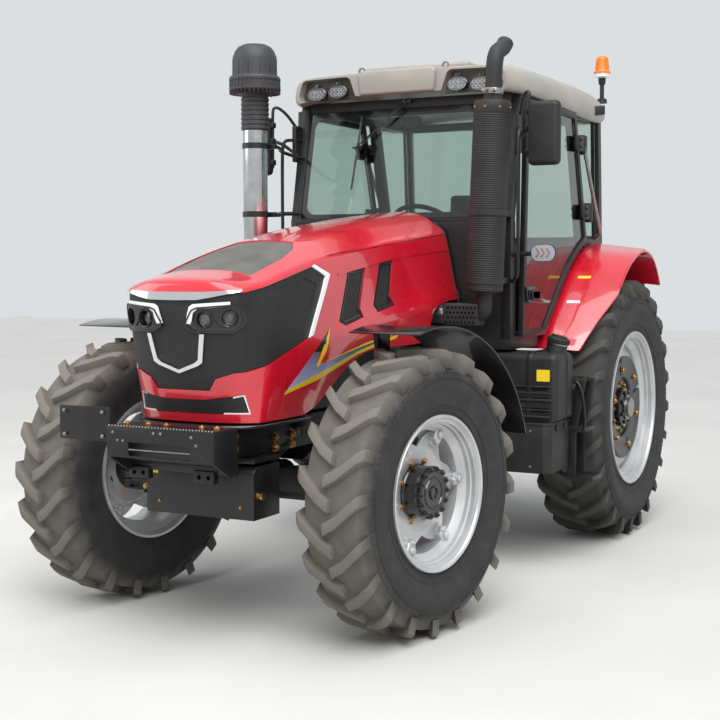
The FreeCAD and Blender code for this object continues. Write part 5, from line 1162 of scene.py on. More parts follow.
def work_lamp(name, x, y, z, way):
    """Oval work lamp: housing, ring, lens and eight reflectors; way is -1 when it looks forward."""
    stand = at(x, y, z) @ (FRONT if way < 0 else turn(180, "Z") @ FRONT)
    shell = [turned("lamp_case", [(0.0, 0.0), (0.040, 0.0), (0.060, 0.020), (0.070, 0.030),
                                  (0.070, 0.050), (0.064, 0.054), (0.062, 0.046), (0.0, 0.040)],
                    Matrix.Diagonal((1, 0.62, 1, 1)), 48)]
    for i in range(9):
        shell.append(block("fin", (-0.044 + 0.011 * i, -0.026, -0.012),
                           (-0.040 + 0.011 * i, 0.026, 0.012), 0.001))
    shell.append(block("lamp_foot", (-0.018, 0.036, 0.008), (0.018, 0.064, 0.030), 0.004))
    case = joined(f"{name}_case", shell)
    dots = []
    for i in range(8):
        across, up = (i % 4 - 1.5) * 0.026, (0.0135 if i < 4 else -0.0135)
        dots.append(turned("reflector", [(0, 0.040), (0.0035, 0.040), (0.0105, 0.048),
                                         (0.0115, 0.048), (0.0115, 0.038), (0, 0.038)],
                           at(across if abs(across) < 0.03 else across * 0.95, up, 0), 16))
    cups = joined(f"{name}_cups", dots)
    lens = turned(f"{name}_lens", [(0, 0.0485), (0.0635, 0.0485), (0.0635, 0.0515), (0.03, 0.0535),
                                   (0, 0.054)], Matrix.Diagonal((1, 0.62, 1, 1)), 48)
    for item in (case, cups, lens):
        item.data.transform(stand)
    return case, cups, lens


def make_work_lamps():
    groups = ([], [], [])
    for side in (1, -1):
        for x, z in ROOF_LAMPS:
            for group, item in zip(groups, work_lamp("roof_lamp", x * side, -0.004, z, -1)):
                group.append(item)
        for group, item in zip(groups, work_lamp("rear_lamp", 0.585 * side, 1.762, 2.905, 1)):
            group.append(item)
    done(joined("work_lamp_cases", groups[0]), "black_plastic", "chassis", GLOSS)
    done(joined("work_lamp_cups", groups[1]), "lamp_lens", "chassis", WHITE)
    lenses = done(joined("work_lamp_lenses", groups[2]), "lamp_lens")
    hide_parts("roof_lamps")


def make_exhaust():
    """Muffler in a ribbed heat shield, clamp, S-bent tail pipe, elbow and its pierced guard."""
    x, y = 0.712, -0.300
    profile = [(0, 1.636), (0.055, 1.636), (0.100, 1.650), (0.106, 1.656)]
    count = 80
    for i in range(count):
        z = 1.662 + i * 0.0124
        profile += [(0.1045, z), (0.1075, z + 0.003), (0.1075, z + 0.0075), (0.1045, z + 0.0105)]
    profile += [(0.106, 2.660), (0.108, 2.664), (0.108, 2.716), (0.102, 2.728), (0.056, 2.738),
                (0.052, 2.744), (0.052, 2.765), (0, 2.765)]
    shell = turned("muffler_shell", profile, at(x, y, 0), 64)
    rivets = []
    for angle in range(0, 360, 45):
        rivets.append(nut(0.007, 0.004, at(x, y, 2.690) @ turn(angle, "Z") @ at(0, -0.107, 0) @ FRONT))
    elbow = tube("exhaust_elbow", [(0.215, y, 1.515), (0.45, y, 1.515), (0.64, y, 1.515),
                                   (x, y, 1.520), (x, y, 1.58), (x, y, 1.65)], 0.046)
    struts = [block("strut", (x - 0.055, y + 0.09, 2.082), (x + 0.055, -0.04, 2.118), 0.006),
              block("strut", (x - 0.040, y + 0.04, 1.692), (x + 0.040, -0.04, 1.728), 0.006)]
    bands = [turned("strap", [(0.107, z), (0.112, z), (0.112, z + 0.034), (0.107, z + 0.034)],
                    at(x, y, 0), 64) for z in (2.083, 1.693)]
    item = done(joined("muffler", [shell, elbow] + struts + bands), "dark_steel", "chassis", None, 50)
    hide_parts("exhaust")
    done(joined("muffler_rivets", rivets), "bare_steel", "chassis", ZINC)
    tail = tube("tail_pipe", [(x, y, 2.755), (x, y, 2.86), (x, y, 2.94), (x, y + 0.022, 3.005),
                              (x, y + 0.085, 3.030), (x, y + 0.125, 3.050), (x, y + 0.150, 3.075)],
                0.048, caps=False, sides=6)
    modify(tail, "SOLIDIFY", thickness=0.004, offset=-1)
    done(tail, "dark_steel")
    clamp = turned("tail_clamp", [(0.050, 2.768), (0.056, 2.768), (0.058, 2.774), (0.058, 2.794),
                                  (0.056, 2.800), (0.050, 2.800)], at(x, y, 0), 48)
    ears = [block("clamp_ear", (x + off - 0.010, y - 0.078, 2.772), (x + off + 0.010, y - 0.050, 2.796),
                  0.003) for off in (-0.024, 0.024)]
    done(joined("tail_clamp", [clamp] + ears), "dark_steel", "chassis", STEEL)
    pin = nut(0.009, 0.010, at(x + 0.034, y - 0.064, 2.784) @ SIDE)
    other = nut(0.009, 0.010, at(x - 0.034, y - 0.064, 2.784) @ turn(180, "Z") @ SIDE)
    done(joined("clamp_bolts", [pin, other]), "bare_steel", "chassis", ZINC)
    middle = at(x, y, 2.15)
    for name in ("muffler", "muffler_rivets", "tail_pipe", "tail_clamp", "clamp_bolts"):
        bpy.data.objects[name].data.transform(middle @ turn(2.4, "Y") @ middle.inverted())
    guard = block("elbow_guard", (0.455, y - 0.064, 1.450), (0.672, y + 0.064, 1.580), 0.012, 3)
    holes = []
    for row in range(4):
        for i in range(8):
            across = 0.480 + 0.024 * i + (0.012 if row % 2 else 0)
            holes.append(turned("hole", [(0, 0), (0.0075, 0), (0.0075, 0.02), (0, 0.02)],
                                at(across, y - 0.052, 1.470 + 0.028 * row) @ FRONT, 12))
    boolean(guard, joined("holes", holes))
    done(guard, "dark_steel")
    sleeve = tube("elbow_sleeve", [(0.33, y, 1.515), (0.47, y, 1.515)], 0.054, False)
    done(sleeve, "bare_steel")


def make_intake():
    """Polished intake tube with its clamps, rubber sleeve, and the moulded pre-cleaner dome."""
    x, y = -0.715, -0.520
    here = at(x, y, 0)
    pipe = turned("intake_pipe", [(0.070, 1.52), (0.0725, 1.52), (0.0725, 2.060), (0.0735, 2.064),
                                  (0.0735, 2.612), (0.070, 2.612)], here, 64)
    pipe = done(pipe, "polished_steel")
    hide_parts("air_intake")
    elbow = tube("intake_elbow", [(-0.215, y, 1.478), (-0.45, y, 1.478), (-0.64, y, 1.478),
                                  (x, y, 1.485), (x, y, 1.56), (x, y, 1.62)], 0.066)
    creases = [turned("crease", [(0.064, z), (0.074, z + 0.004), (0.076, z + 0.009),
                                 (0.074, z + 0.014), (0.064, z + 0.018)], at(x, y, 0), 48)
               for z in (1.57, 1.595, 1.62)]
    done(joined("intake_elbow", [elbow] + creases), "black_plastic")
    straps = []
    for z in (2.090, 2.500):
        straps.append(turned("strap", [(0.0735, z), (0.0785, z), (0.0785, z + 0.034),
                                       (0.0735, z + 0.034)], here, 64))
        straps.append(block("strap_lug", (x + 0.050, y + 0.05, z + 0.002),
                            (x + 0.110, y + 0.075, z + 0.032), 0.004))
    straps.append(tube("stay", [(x + 0.10, y + 0.06, 2.107), (x + 0.06, y + 0.2, 2.107),
                                (x + 0.02, -0.30, 2.120), (x + 0.02, -0.04, 2.128)], 0.013))
    straps.append(tube("stay_top", [(x + 0.10, y + 0.06, 2.517), (x + 0.06, y + 0.2, 2.520),
                                    (x + 0.01, -0.25, 2.50), (x + 0.01, 0.045, 2.48)], 0.011))
    done(joined("intake_straps", straps), "black_frame")
    profile = [(0.060, 2.600)]
    for i in range(7):
        z = 2.612 + 0.028 * i
        profile += [(0.079, z), (0.084, z + 0.006), (0.084, z + 0.020), (0.079, z + 0.026)]
    profile += [(0.080, 2.818), (0.060, 2.818)]
    sleeve = turned("intake_sleeve", profile, here, 64)
    dome = turned("precleaner", [
        (0.0, 2.812), (0.078, 2.812), (0.090, 2.822), (0.118, 2.832), (0.148, 2.842), (0.155, 2.850),
        (0.155, 2.862), (0.150, 2.866), (0.150, 2.902), (0.155, 2.906), (0.155, 2.918),
        (0.148, 2.930), (0.136, 2.936), (0.134, 2.950), (0.134, 3.030), (0.130, 3.052),
        (0.118, 3.082), (0.098, 3.106), (0.070, 3.120), (0.0, 3.125)], here, 72)
    fin = block("fin", (0.110, -0.0035, 2.826), (0.154, 0.0035, 2.912), 0.002)
    fins = [twin(fin, turn(10 * i, "Z"), here) for i in range(36)]
    bpy.data.objects.remove(fin)
    rib = block("rib", (0.090, -0.003, 2.934), (0.1375, 0.003, 3.030), 0.002)
    ribs = [twin(rib, turn(30 * i + 15, "Z"), here) for i in range(12)]
    bpy.data.objects.remove(rib)
    done(joined("precleaner", [dome, sleeve] + fins + ribs), "black_plastic", "chassis", SLATE, 30)
    knob = turned("cap_nut", [(0, 3.10), (0.016, 3.10), (0.016, 3.122), (0.010, 3.125), (0, 3.125)],
                  here, 24)
    done(knob, "bare_steel")


def make_mirrors():
    """Side mirrors on tube loops."""
    shell = block("mirror_shell", (0.872, -0.112, 2.374), (1.060, -0.034, 2.743), 0.030, 5)
    glass = round_plate("mirror_glass", (-1.046, 2.390), (-0.886, 2.727), 0.022, 0.004,
                        at(0, -0.034, 0) @ turn(180, "Z") @ FRONT)
    loop = tube("mirror_loop", [(0.742, 0.075, 2.640), (0.775, 0.045, 2.700), (0.800, 0.0, 2.760),
                                (0.840, -0.045, 2.806), (0.866, -0.062, 2.800), (0.866, -0.070, 2.760),
                                (0.866, -0.070, 2.60), (0.866, -0.070, 2.42)], 0.010)
    low = tube("mirror_arm", [(0.745, 0.030, 2.505), (0.79, 0.00, 2.545), (0.83, -0.04, 2.582),
                              (0.866, -0.066, 2.590)], 0.011)
    clamps = [block("mirror_clamp", (0.850, -0.090, z - 0.018), (0.890, -0.050, z + 0.018), 0.007, 3)
              for z in (2.455, 2.590, 2.690)]
    foot = block("mirror_foot", (0.742, 0.010, 2.46), (0.772, 0.085, 2.69), 0.008, 3)
    frame_parts = joined("mirror_arms", [loop, low, foot] + clamps)
    done(both(frame_parts), "black_frame")
    done(both(shell), "black_plastic")
    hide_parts("mirrors")
    done(both(glass), "chrome_trim")


def on_screen(x, z, out):
    """A point that far in front of the windscreen's outer face."""
    y = -0.030 + (z - 2.0905) * 0.2222
    return (x, y - out * 0.976, z + out * 0.217)


SCREEN = Matrix(((1, 0, 0, 0), (0, 0.2169, -0.9762, -0.030), (0, 0.9762, 0.2169, 2.0905),
                 (0, 0, 0, 1)))


def make_screen_trim():
    """Printed border and gasket of the windscreen, and the wiper in front of it."""
    border = round_plate("screen_border", (-0.688, 0.002), (0.688, 0.698), 0.012, 0.0008,
                         SCREEN @ at(0, 0, 0.0003))
    boolean(border, round_plate("sight", (-0.648, 0.030), (0.648, 0.652), 0.060, 0.02,
                                SCREEN @ at(0, 0, -0.01)))
    done(border, "black_plastic", "chassis", GLOSS)
    edge = [tuple(SCREEN @ Vector((x, up, 0.004))) for x, up in pill((-0.692, -0.002), (0.692, 0.702),
                                                                     0.02)]
    gasket = tube("screen_gasket", edge, 0.007, False, True)
    done(gasket, "black_plastic")
    arms = [bar("wiper_arm", on_screen(0.027, 2.812, 0.045), on_screen(-0.334, 2.522, 0.030), 0.0045),
            bar("wiper_arm", on_screen(-0.010, 2.812, 0.045), on_screen(-0.296, 2.528, 0.030), 0.0035),
            bar("wiper_link", on_screen(-0.345, 2.530, 0.030), on_screen(-0.286, 2.522, 0.030), 0.006)]
    for x in (0.027, -0.010):
        arms.append(turned("wiper_boss", [(0, 0), (0.014, 0), (0.012, 0.05), (0, 0.052)],
                           at(*on_screen(x, 2.812, 0.0)) @ FRONT, 20))
    blade = [bar("blade_spine", on_screen(-0.309, 2.734, 0.020), on_screen(-0.334, 2.271, 0.020), 0.004),
             bar("blade_edge", on_screen(-0.309, 2.734, 0.006), on_screen(-0.334, 2.271, 0.006), 0.003)]
    for share in (0.15, 0.4, 0.6, 0.85):
        x, z = mix(-0.309, -0.334, share), mix(2.734, 2.271, share)
        blade.append(bar("blade_claw", on_screen(x, z, 0.022), on_screen(x, z, 0.004), 0.0045))
    done(joined("wiper", arms + blade), "black_plastic", "chassis", GLOSS)


HINGES = ((1.092, 2.592), (1.231, 2.151))


def make_door_trim():
    """Hinge castings, latch, grab bars, turn lamps and seals of both sides."""
    fixed, moving = [], []
    for y, z in HINGES:
        fixed.append(block("hinge_bracket", (0.750, y + 0.016, z - 0.064), (0.814, y + 0.078, z + 0.064),
                           0.014, 3))
        moving.append(block("hinge_leaf", (0.786, y - 0.132, z - 0.050), (0.820, y - 0.026, z + 0.050),
                            0.012, 3))
        for up in (-0.022, 0.022):
            moving.append(nut(0.012, 0.010, at(0.820, y - 0.098, z + up) @ SIDE))
    done(both(joined("hinge_brackets", fixed)), "black_casting")
    for side, word in ((1, "left"), (-1, "right")):
        leaf = joined("leaf", [twin(item) for item in moving])
        if side < 0:
            mirrored(leaf)
        leaf.name = f"door_{word}_hinges"
        done(leaf, "black_casting", f"door_{word}")
        latch = plate("latch", [(0.095, 1.670), (0.255, 1.668), (0.435, 1.593), (0.361, 1.565),
                                (0.117, 1.578)], 0.014, at(0.788, 0, 0) @ SIDE, 0.005, 3)
        paddle = block("paddle", (0.802, 0.130, 1.592), (0.828, 0.262, 1.650), 0.009, 3)
        lock = turned("lock", [(0, 0.80), (0.013, 0.80), (0.013, 0.812), (0.010, 0.815), (0, 0.815)],
                      at(0, 0.305, 1.620) @ SIDE, 24)
        handle = joined("handle", [latch, paddle, lock])
        if side < 0:
            mirrored(handle)
        handle.name = f"door_{word}_handle"
        done(handle, "black_plastic", f"door_{word}", GLOSS)
        seal = []
        for x in (0.768, 0.779):
            line = [(x, *spot) for spot in DOOR_EDGE]
            seal.append(tube("seal", line, 0.0055, False, True))
        seal = joined("seal", seal)
        if side < 0:
            mirrored(seal)
        seal.name = f"door_{word}_seal"
        done(seal, "black_plastic", f"door_{word}")
    for item in moving:
        bpy.data.objects.remove(item)
    rail = [tube("grab_bar", [(0.752, 1.100, 2.600), (0.800, 1.112, 2.590), (0.806, 1.140, 2.540),
                              (0.806, 1.290, 2.300), (0.806, 1.460, 2.060), (0.802, 1.500, 2.005),
                              (0.752, 1.515, 1.985)], 0.013)]
    done(both(joined("grab_bars", rail)), "bare_steel")
    front_rail = tube("front_rail", [(0.742, 0.060, 2.600), (0.785, 0.000, 2.602), (0.800, -0.050, 2.585),
                                     (0.802, -0.060, 2.50), (0.802, -0.060, 2.10), (0.800, -0.055, 1.80),
                                     (0.790, -0.045, 1.72), (0.748, -0.015, 1.700)], 0.011)
    done(both(front_rail), "black_frame")
    lamp = stacked("turn_lamp", [(0.0, (-0.064, -0.038), (0.064, 0.038), 0.036),
                                 (0.020, (-0.076, -0.050), (0.076, 0.050), 0.048),
                                 (0.030, (-0.078, -0.052), (0.078, 0.052), 0.050)])
    lamp.data.transform(at(0.950, -0.002, 1.870) @ FRONT)
    stalk = tube("lamp_stalk", [(0.748, 0.02, 1.86), (0.80, 0.02, 1.866), (0.85, 0.01, 1.868),
                                (0.90, 0.0, 1.870)], 0.014)
    done(both(joined("turn_lamp_cases", [lamp, stalk])), "black_plastic")
    rim = stacked("turn_reflector", [(0.0305, (-0.070, -0.044), (0.070, 0.044), 0.042),
                                     (0.034, (-0.070, -0.044), (0.070, 0.044), 0.042)])
    rim.data.transform(at(0.950, -0.002, 1.870) @ FRONT)
    done(both(rim), "chrome_trim", "chassis", WHITE)
    arrows = []
    for start in (-0.044, -0.012, 0.020):
        line = [(start, 0.026), (start + 0.020, 0.0), (start, -0.026)]
        arrows.append(plate("arrow", band(line, 0.010), 0.003, at(0, 0, 0.034)))
    arrows = joined("turn_lamp_arrows", arrows)
    arrows.data.transform(at(0.950, -0.002, 1.870) @ FRONT)
    done(both(arrows), "amber_lens")
    cover = stacked("turn_lamp_lenses", [(0.0375, (-0.074, -0.048), (0.074, 0.048), 0.046),
                                         (0.044, (-0.070, -0.044), (0.070, 0.044), 0.042),
                                         (0.046, (-0.060, -0.034), (0.060, 0.034), 0.032)])
    cover.data.transform(at(0.950, -0.002, 1.870) @ FRONT)
    done(both(cover), "lamp_lens")


# The door's outline a little inside its edge, seen from the side: y, z.
DOOR_EDGE = [(0.076, 1.386), (0.446, 1.386), (0.582, 1.503), (0.728, 1.634), (0.912, 1.795),
             (1.124, 1.922), (1.234, 1.966), (1.224, 2.010), (0.998, 2.776), (0.134, 2.776)]

edge_parts()
make_roof()
make_work_lamps()
make_exhaust()
make_intake()
make_mirrors()
make_screen_trim()
make_door_trim()


# Front end

# The base that the hood closes on, seen from above: x, y.
BASE = [(-0.352, -1.720), (-0.345, -2.150), (-0.298, -2.226), (-0.165, -2.318), (0.165, -2.318),
        (0.298, -2.226), (0.345, -2.150), (0.352, -1.720)]
RAIL_PLATE = [(-2.290, 1.030), (-2.065, 1.030), (-1.639, 1.010), (-1.548, 0.975), (-1.640, 0.935),
              (-2.066, 0.885), (-2.290, 0.915)]


def make_front_end():
    """Base under the nose, side plates and bolts, and what hangs on the weight bracket and box."""
    base = plate("hood_base", BASE, 0.016, at(0, 0, 1.035), 0.005)
    blocks = [block("rest", (x - 0.045, -2.22, 1.020), (x + 0.045, -2.10, 1.040), 0.006)
              for x in (-0.15, 0.15)]
    done(joined("hood_base", [base] + blocks), "black_frame")
    line = [(x, y, 1.047) for x, y in BASE]
    edge = tube("base_edge", line, 0.0035, False)
    done(edge, "bare_steel")
    side = plate("rail_plate", RAIL_PLATE, 0.014, at(0.2255, 0, 0) @ SIDE, 0.004)
    done(both(side), "black_frame")
    spots = [(0.2395, y, z) for y in (-1.880, -1.720) for z in (0.957, 0.907)]
    spots += [(0.2395, -2.24, 1.00), (0.2395, -2.24, 0.94)]
    heads = joined("rail_bolts", [nut(0.019, 0.015, at(*spot) @ SIDE) for spot in spots])
    done(both(heads), "bare_steel", "chassis", ZINC)
    teeth = [block("tooth", (-0.292 + 0.0175 * i, -2.4995, 1.048), (-0.283 + 0.0175 * i, -2.486, 1.056),
                   0.002, 1) for i in range(34)]
    done(joined("bracket_teeth", teeth), "bare_steel")
    bolts("bracket_bolts", [(x, -2.425, 1.0505) for x in (-0.235, -0.112, -0.010, 0.188, 0.270)],
          HERE, 0.015, ZINC)
    bolts("bracket_screws", [(x, -2.4995, z) for x, z in ((-0.262, 1.022), (-0.235, 0.985), (-0.205, 0.985),
                                                          (0.180, 1.020), (0.206, 0.985),
                                                          (-0.03, 1.028), (0.01, 1.028))],
          FRONT, 0.0065)
    done(bar("slot_lip", (-0.172, -2.4985, 0.945), (0.172, -2.4985, 0.945), 0.0035), "bare_steel",
         "chassis")
    lugs, holes = [], []
    for x in (-0.245, 0.128):
        lugs.append(block("clevis", (x - 0.058, -2.330, 0.782), (x + 0.058, -2.290, 0.841), 0.004))
        holes += [turned("hole", [(0, 0), (0.011, 0), (0.011, 0.1), (0, 0.1)],
                         at(x + off, -2.26, 0.811) @ FRONT, 20) for off in (-0.026, 0.026)]
    carrier = block("carrier", (-0.30, -2.318, 0.836), (0.19, -2.292, 0.866), 0.003)
    clevis = joined("bracket_lugs", lugs)
    boolean(clevis, joined("holes", holes))
    done(joined("bracket_lugs", [clevis, carrier]), "black_frame")
    label = round_plate("front_label", (-0.291, 0.788), (-0.240, 0.838), 0.004, 0.001,
                        at(0, -2.1802, 0) @ FRONT)
    done(label, "black_frame", "chassis", YELLOW)
    lid = block("toolbox_lid", (-0.316, -2.186, 0.866), (0.316, -1.940, 0.884), 0.006)
    done(lid, "black_frame")
    knobs = []
    for x, side in ((0.311, 1), (-0.311, -1)):
        stand = at(x, -2.150, 0.712) @ (SIDE if side > 0 else turn(180, "Z") @ SIDE)
        knobs.append(nut(0.014, 0.016, stand))
        knobs.append(turned("knob", [(0, 0.016), (0.016, 0.016), (0.018, 0.022), (0.016, 0.032),
                                     (0, 0.034)], stand, 8))
    knobs.append(nut(0.007, 0.004, at(0.234, -2.1805, 0.654) @ FRONT))
    knobs.append(nut(0.007, 0.004, at(-0.234, -2.1805, 0.654) @ FRONT))
    done(joined("toolbox_fasteners", knobs), "bare_steel", "chassis", ZINC)
    bolts("plate_bolts", [(x, -2.4175, z) for x in (-0.62, -0.39) for z in (0.985, 1.100)],
          FRONT, 0.008)
    valve = block("test_port_block", (0.2395, -1.675, 0.985), (0.285, -1.600, 1.030), 0.006)
    done(valve, "black_casting")
    ports = []
    for y, low, high in ((-1.655, 1.028, 1.120), (-1.622, 1.028, 1.085), (-1.640, 0.935, 0.988)):
        ports.append(turned("union", [(0, low), (0.011, low), (0.011, low + 0.02), (0.007, low + 0.022),
                                      (0.007, high - 0.02), (0.012, high - 0.018), (0.012, high),
                                      (0, high)], at(0.262, y, 0), 6))
    ports.append(turned("port_cap", [(0, 0), (0.014, 0), (0.014, 0.016), (0, 0.018)],
                        at(0.262, -1.655, 1.120), 20))
    done(joined("test_ports", ports), "bare_steel", "chassis", ZINC)


# Hood edges, seen from the side: y, z. The gap lines are glossy black strips of painted shade.
PAINTED_GAP_SHADE = {"seam_nose": [(-1.985, 1.262), (-1.974, 1.100)],
         "seam_top": [(-1.560, 1.846), (-1.429, 1.862), (-1.275, 1.872), (-0.900, 1.908),
                      (-0.532, 1.944), (-0.080, 1.982)]}
FOLDS = {"fold_low": [(-1.480, 1.752), (-1.339, 1.775), (-0.873, 1.836), (-0.500, 1.868), (-0.090, 1.893)],
         "fold_recess": [(-1.180, 1.470), (-0.795, 1.500), (-0.380, 1.560)]}


def make_hood_edges(form):
    """Dark strips of painted shade along the hood's gaps, pressed folds and the rubber bead of the hood."""
    side = at(0.6, 0, 0) @ SIDE
    # Each gap is a thin glossy black strip laid on the skin: painted shade.
    for name, line in PAINTED_GAP_SHADE.items():
        done(both(laid(name, band(line, 0.0036), side, form, 0.0005, 0.0008, 0, "black_plastic", GLOSS)),
             "black_plastic", "hood", GLOSS)
    for name, line in FOLDS.items():
        done(both(laid(name, band(line, 0.014), side, form, 0.001, 0.005, 0, "red_paint")),
             "red_paint", "hood")
    rear = [(0.405, 1.372), (0.430, 1.628), (0.404, 1.668), (0.372, 1.83), (0.330, 2.000), (0.262, 2.062)]
    bead = tube("hood_bead", [(x, -0.066, z) for x, z in rear], 0.0075, False)
    done(both(bead), "black_plastic", "hood")
    for name, outline in VENTS.items():
        line = shrunk(outline, 0.020)
        bead = laid(f"vent_bead_{name}", band(line + line[:1], 0.006), side, form, 0.002 - LET_IN,
                    0.005, 0, "black_plastic", GLOSS)
        done(both(bead), "black_plastic", "hood", GLOSS)


# Flank

def make_tank_trim():
    """Mouldings, parting flange, filler cap and blank label of the fuel tank; lid of the battery box."""
    ribs = []
    for z, low, high in ((1.011, 0.700, 1.020), (0.912, 0.700, 1.010)):
        ribs.append(block("tank_rib", (low, -0.070, z - 0.008), (high, -0.052, z + 0.008), 0.005, 3))
    for z in (0.952, 1.052, 1.090):
        ribs.append(block("tank_rib", (0.690, -0.067, z - 0.005), (1.022, -0.054, z + 0.005), 0.004, 3))
    flange = round_plate("tank_flange", (0.436, 0.874), (1.056, 1.291), 0.050, 0.012,
                         at(0, 0.120, 0) @ FRONT, 0.003)
    strap = []
    for x in (0.600, 0.860):
        strap.append(round_plate("tank_strap", (-0.066, 0.872), (0.256, 1.293), 0.05, 0.034,
                                 at(x, 0, 0) @ SIDE, 0.003))
        boolean(strap[-1], round_plate("room", (-0.061, 0.877), (0.251, 1.288), 0.046, 0.06,
                                       at(x - 0.01, 0, 0) @ SIDE))
    done(joined("tank_mouldings", ribs + [flange]), "black_plastic")
    done(joined("tank_straps", strap), "black_frame")
    label = round_plate("tank_label", (0.925, 1.122), (1.005, 1.190), 0.004, 0.001,
                        at(0, -0.0605, 0) @ FRONT)
    done(label, "black_plastic", "chassis", YELLOW)
    stand = at(0.955, 0.160, 1.255) @ turn(14, "Y")
    cap = turned("filler_cap", [(0, 0.086), (0.064, 0.086), (0.067, 0.090), (0.067, 0.112),
                                (0.060, 0.118), (0.020, 0.120), (0.018, 0.126), (0, 0.127)], stand, 48)
    grip = block("grip", (-0.050, -0.008, 0.112), (0.050, 0.008, 0.132), 0.005, 3)
    grip.data.transform(stand)
    knurl = block("knurl", (0.064, -0.003, 0.090), (0.070, 0.003, 0.112), 0.0015, 1)
    teeth = [twin(knurl, turn(12 * i, "Z"), stand) for i in range(30)]
    bpy.data.objects.remove(knurl)
    done(joined("filler_cap", [cap, grip] + teeth), "black_plastic")
    ring = turned("neck_ring", [(0.0615, 0.078), (0.066, 0.078), (0.066, 0.085), (0.0615, 0.085)],
                  stand, 48)
    done(ring, "bare_steel")
    lid = plate("battery_lid", [(0.474, -0.094), (0.982, -0.094), (1.025, -0.052), (1.025, 0.254),
                                (0.474, 0.254)], 0.018, at(0, 0, 0.862), 0.005)
    latches = []
    for y in (0.02, 0.16):
        latches.append(block("latch", (1.018, y - 0.016, 0.828), (1.032, y + 0.016, 0.872), 0.004))
    done(joined("battery_lid", [lid] + latches), "black_plastic")
    bolts("battery_bolts", [(x, -0.0905, z) for x in (0.56, 0.90) for z in (0.62, 0.83)], FRONT,
          0.007)


def make_step_trim():
    """Grip teeth on the treads, and a handrail beside the ladder on each side."""
    teeth = []
    for inner, outer, z in ((1.000, 1.155, 0.531), (0.810, 1.112, 0.826), (0.810, 1.072, 1.116)):
        count = int((outer - inner) / 0.024)
        for i in range(count):
            for j in range(5):
                x, y = inner + 0.012 + 0.024 * i, 0.280 + 0.034 * j
                teeth.append(block("tooth", (x - 0.007, y - 0.004, z - 0.001),
                                   (x + 0.007, y + 0.004, z + 0.007), 0.002, 1))
        teeth.append(block("step_lip", (inner, 0.258, z - 0.030), (outer + 0.006, 0.266, z + 0.006),
                           0.003))
    done(both(joined("step_teeth", teeth)), "black_frame")
    rail = tube("step_rail", [(1.06, 0.258, 1.100), (1.085, 0.250, 1.080), (1.105, 0.250, 1.00),
                              (1.115, 0.252, 0.90), (1.118, 0.256, 0.83), (1.105, 0.262, 0.812)], 0.010)
    done(both(rail), "black_frame")


def make_fender_trim():
    """Rolled edge of the rear fenders, and blank markers."""
    hub = Vector((1.300, 0.852))
    edge = []
    for y, z in FENDER_EDGE:
        inward = (hub - Vector((y, z))).normalized() * 0.042
        edge.append((1.127, y + inward.x, z + inward.y))
    bead = tube("fender_bead", edge, 0.007)
    done(both(bead), "red_paint")
    bpy.context.view_layer.update()
    fenders, down = bpy.data.objects["rear_fenders_edged"], Vector((0, 0, -1))
    for name, x, y, paint in (("fender_marker", 0.870, 0.745, WHITE),
                              ("fender_label", 0.880, 0.930, YELLOW)):
        hit, place, normal, face = fenders.ray_cast(Vector((x, y, 3)), down)
        stand = at(*place) @ normal.to_track_quat("Z", "Y").to_matrix().to_4x4()
        marker = round_plate(name, (-0.042, -0.012), (0.042, 0.012), 0.003, 0.0012, stand)
        done(both(marker), "red_paint", "chassis", paint)


# A rear fender's outer edge over the wheel: y, z.
FENDER_EDGE = [(0.880, 1.692), (0.945, 1.748), (1.160, 1.875), (1.430, 1.950), (1.640, 1.905),
               (1.780, 1.800), (1.850, 1.700)]


def make_sidewalls():
    """Raised rings and fine ribs moulded in the tyres' outer walls."""
    bpy.context.view_layer.update()
    for end, radii, ribs in (("front", (0.400, 0.430, 0.560, 0.590), (0.566, 0.586, 120)),
                             ("rear", (0.530, 0.560, 0.700, 0.730), (0.706, 0.726, 144))):
        for side in ("left", "right"):
            tyre = bpy.data.objects[f"{end}_{side}_tyre_edged"]
            stand = WHEELS[f"{end}_{side}"]

            def wall(radius):
                """How far outboard the tyre's wall stands at a radius, clear of the lugs."""
                reach = []
                for angle in range(0, 360, 24):
                    spot = turn(angle, "X") @ Vector((0, 0, radius))
                    start = stand @ (spot + Vector((0.5, 0, 0)))
                    way = (stand @ spot - start).normalized()
                    hit, place, normal, face = tyre.ray_cast(start, way)
                    if hit:
                        reach.append((stand.inverted() @ place).x)
                return min(reach)

            rings = []
            for radius in radii:
                out = wall(radius)
                ridge = [(radius - 0.004, out - 0.003), (radius + 0.004, out - 0.003),
                         (radius + 0.002, out + 0.003), (radius - 0.002, out + 0.003)]
                rings.append(turned("wall_ring", ridge, stand @ AXLE, 96))
            low, high, count = ribs
            out = wall((low + high) / 2)
            rib = block("wall_rib", (low, -0.0012, out - 0.003), (high, 0.0012, out + 0.002), 0.0006, 1)
            for i in range(count):
                rings.append(twin(rib, turn(360 / count * i, "Z"), stand @ AXLE))
            bpy.data.objects.remove(rib)
            done(joined(f"{end}_{side}_wall_rings", rings), "tyre", f"wheel_{end}_{side}",
                 RUBBER.get(f"{end}_{side}", RUBBER["rear"]))


make_front_end()
make_tank_trim()
make_step_trim()
make_fender_trim()
make_sidewalls()


# Seat, controls and rear

# The backrest leans; it is made upright from its foot.
LEAN = at(0, 1.165, 1.812) @ turn(-8.75, "X")
# Seen from behind, X to the tractor's right.
REAR = turn(180, "Z") @ FRONT


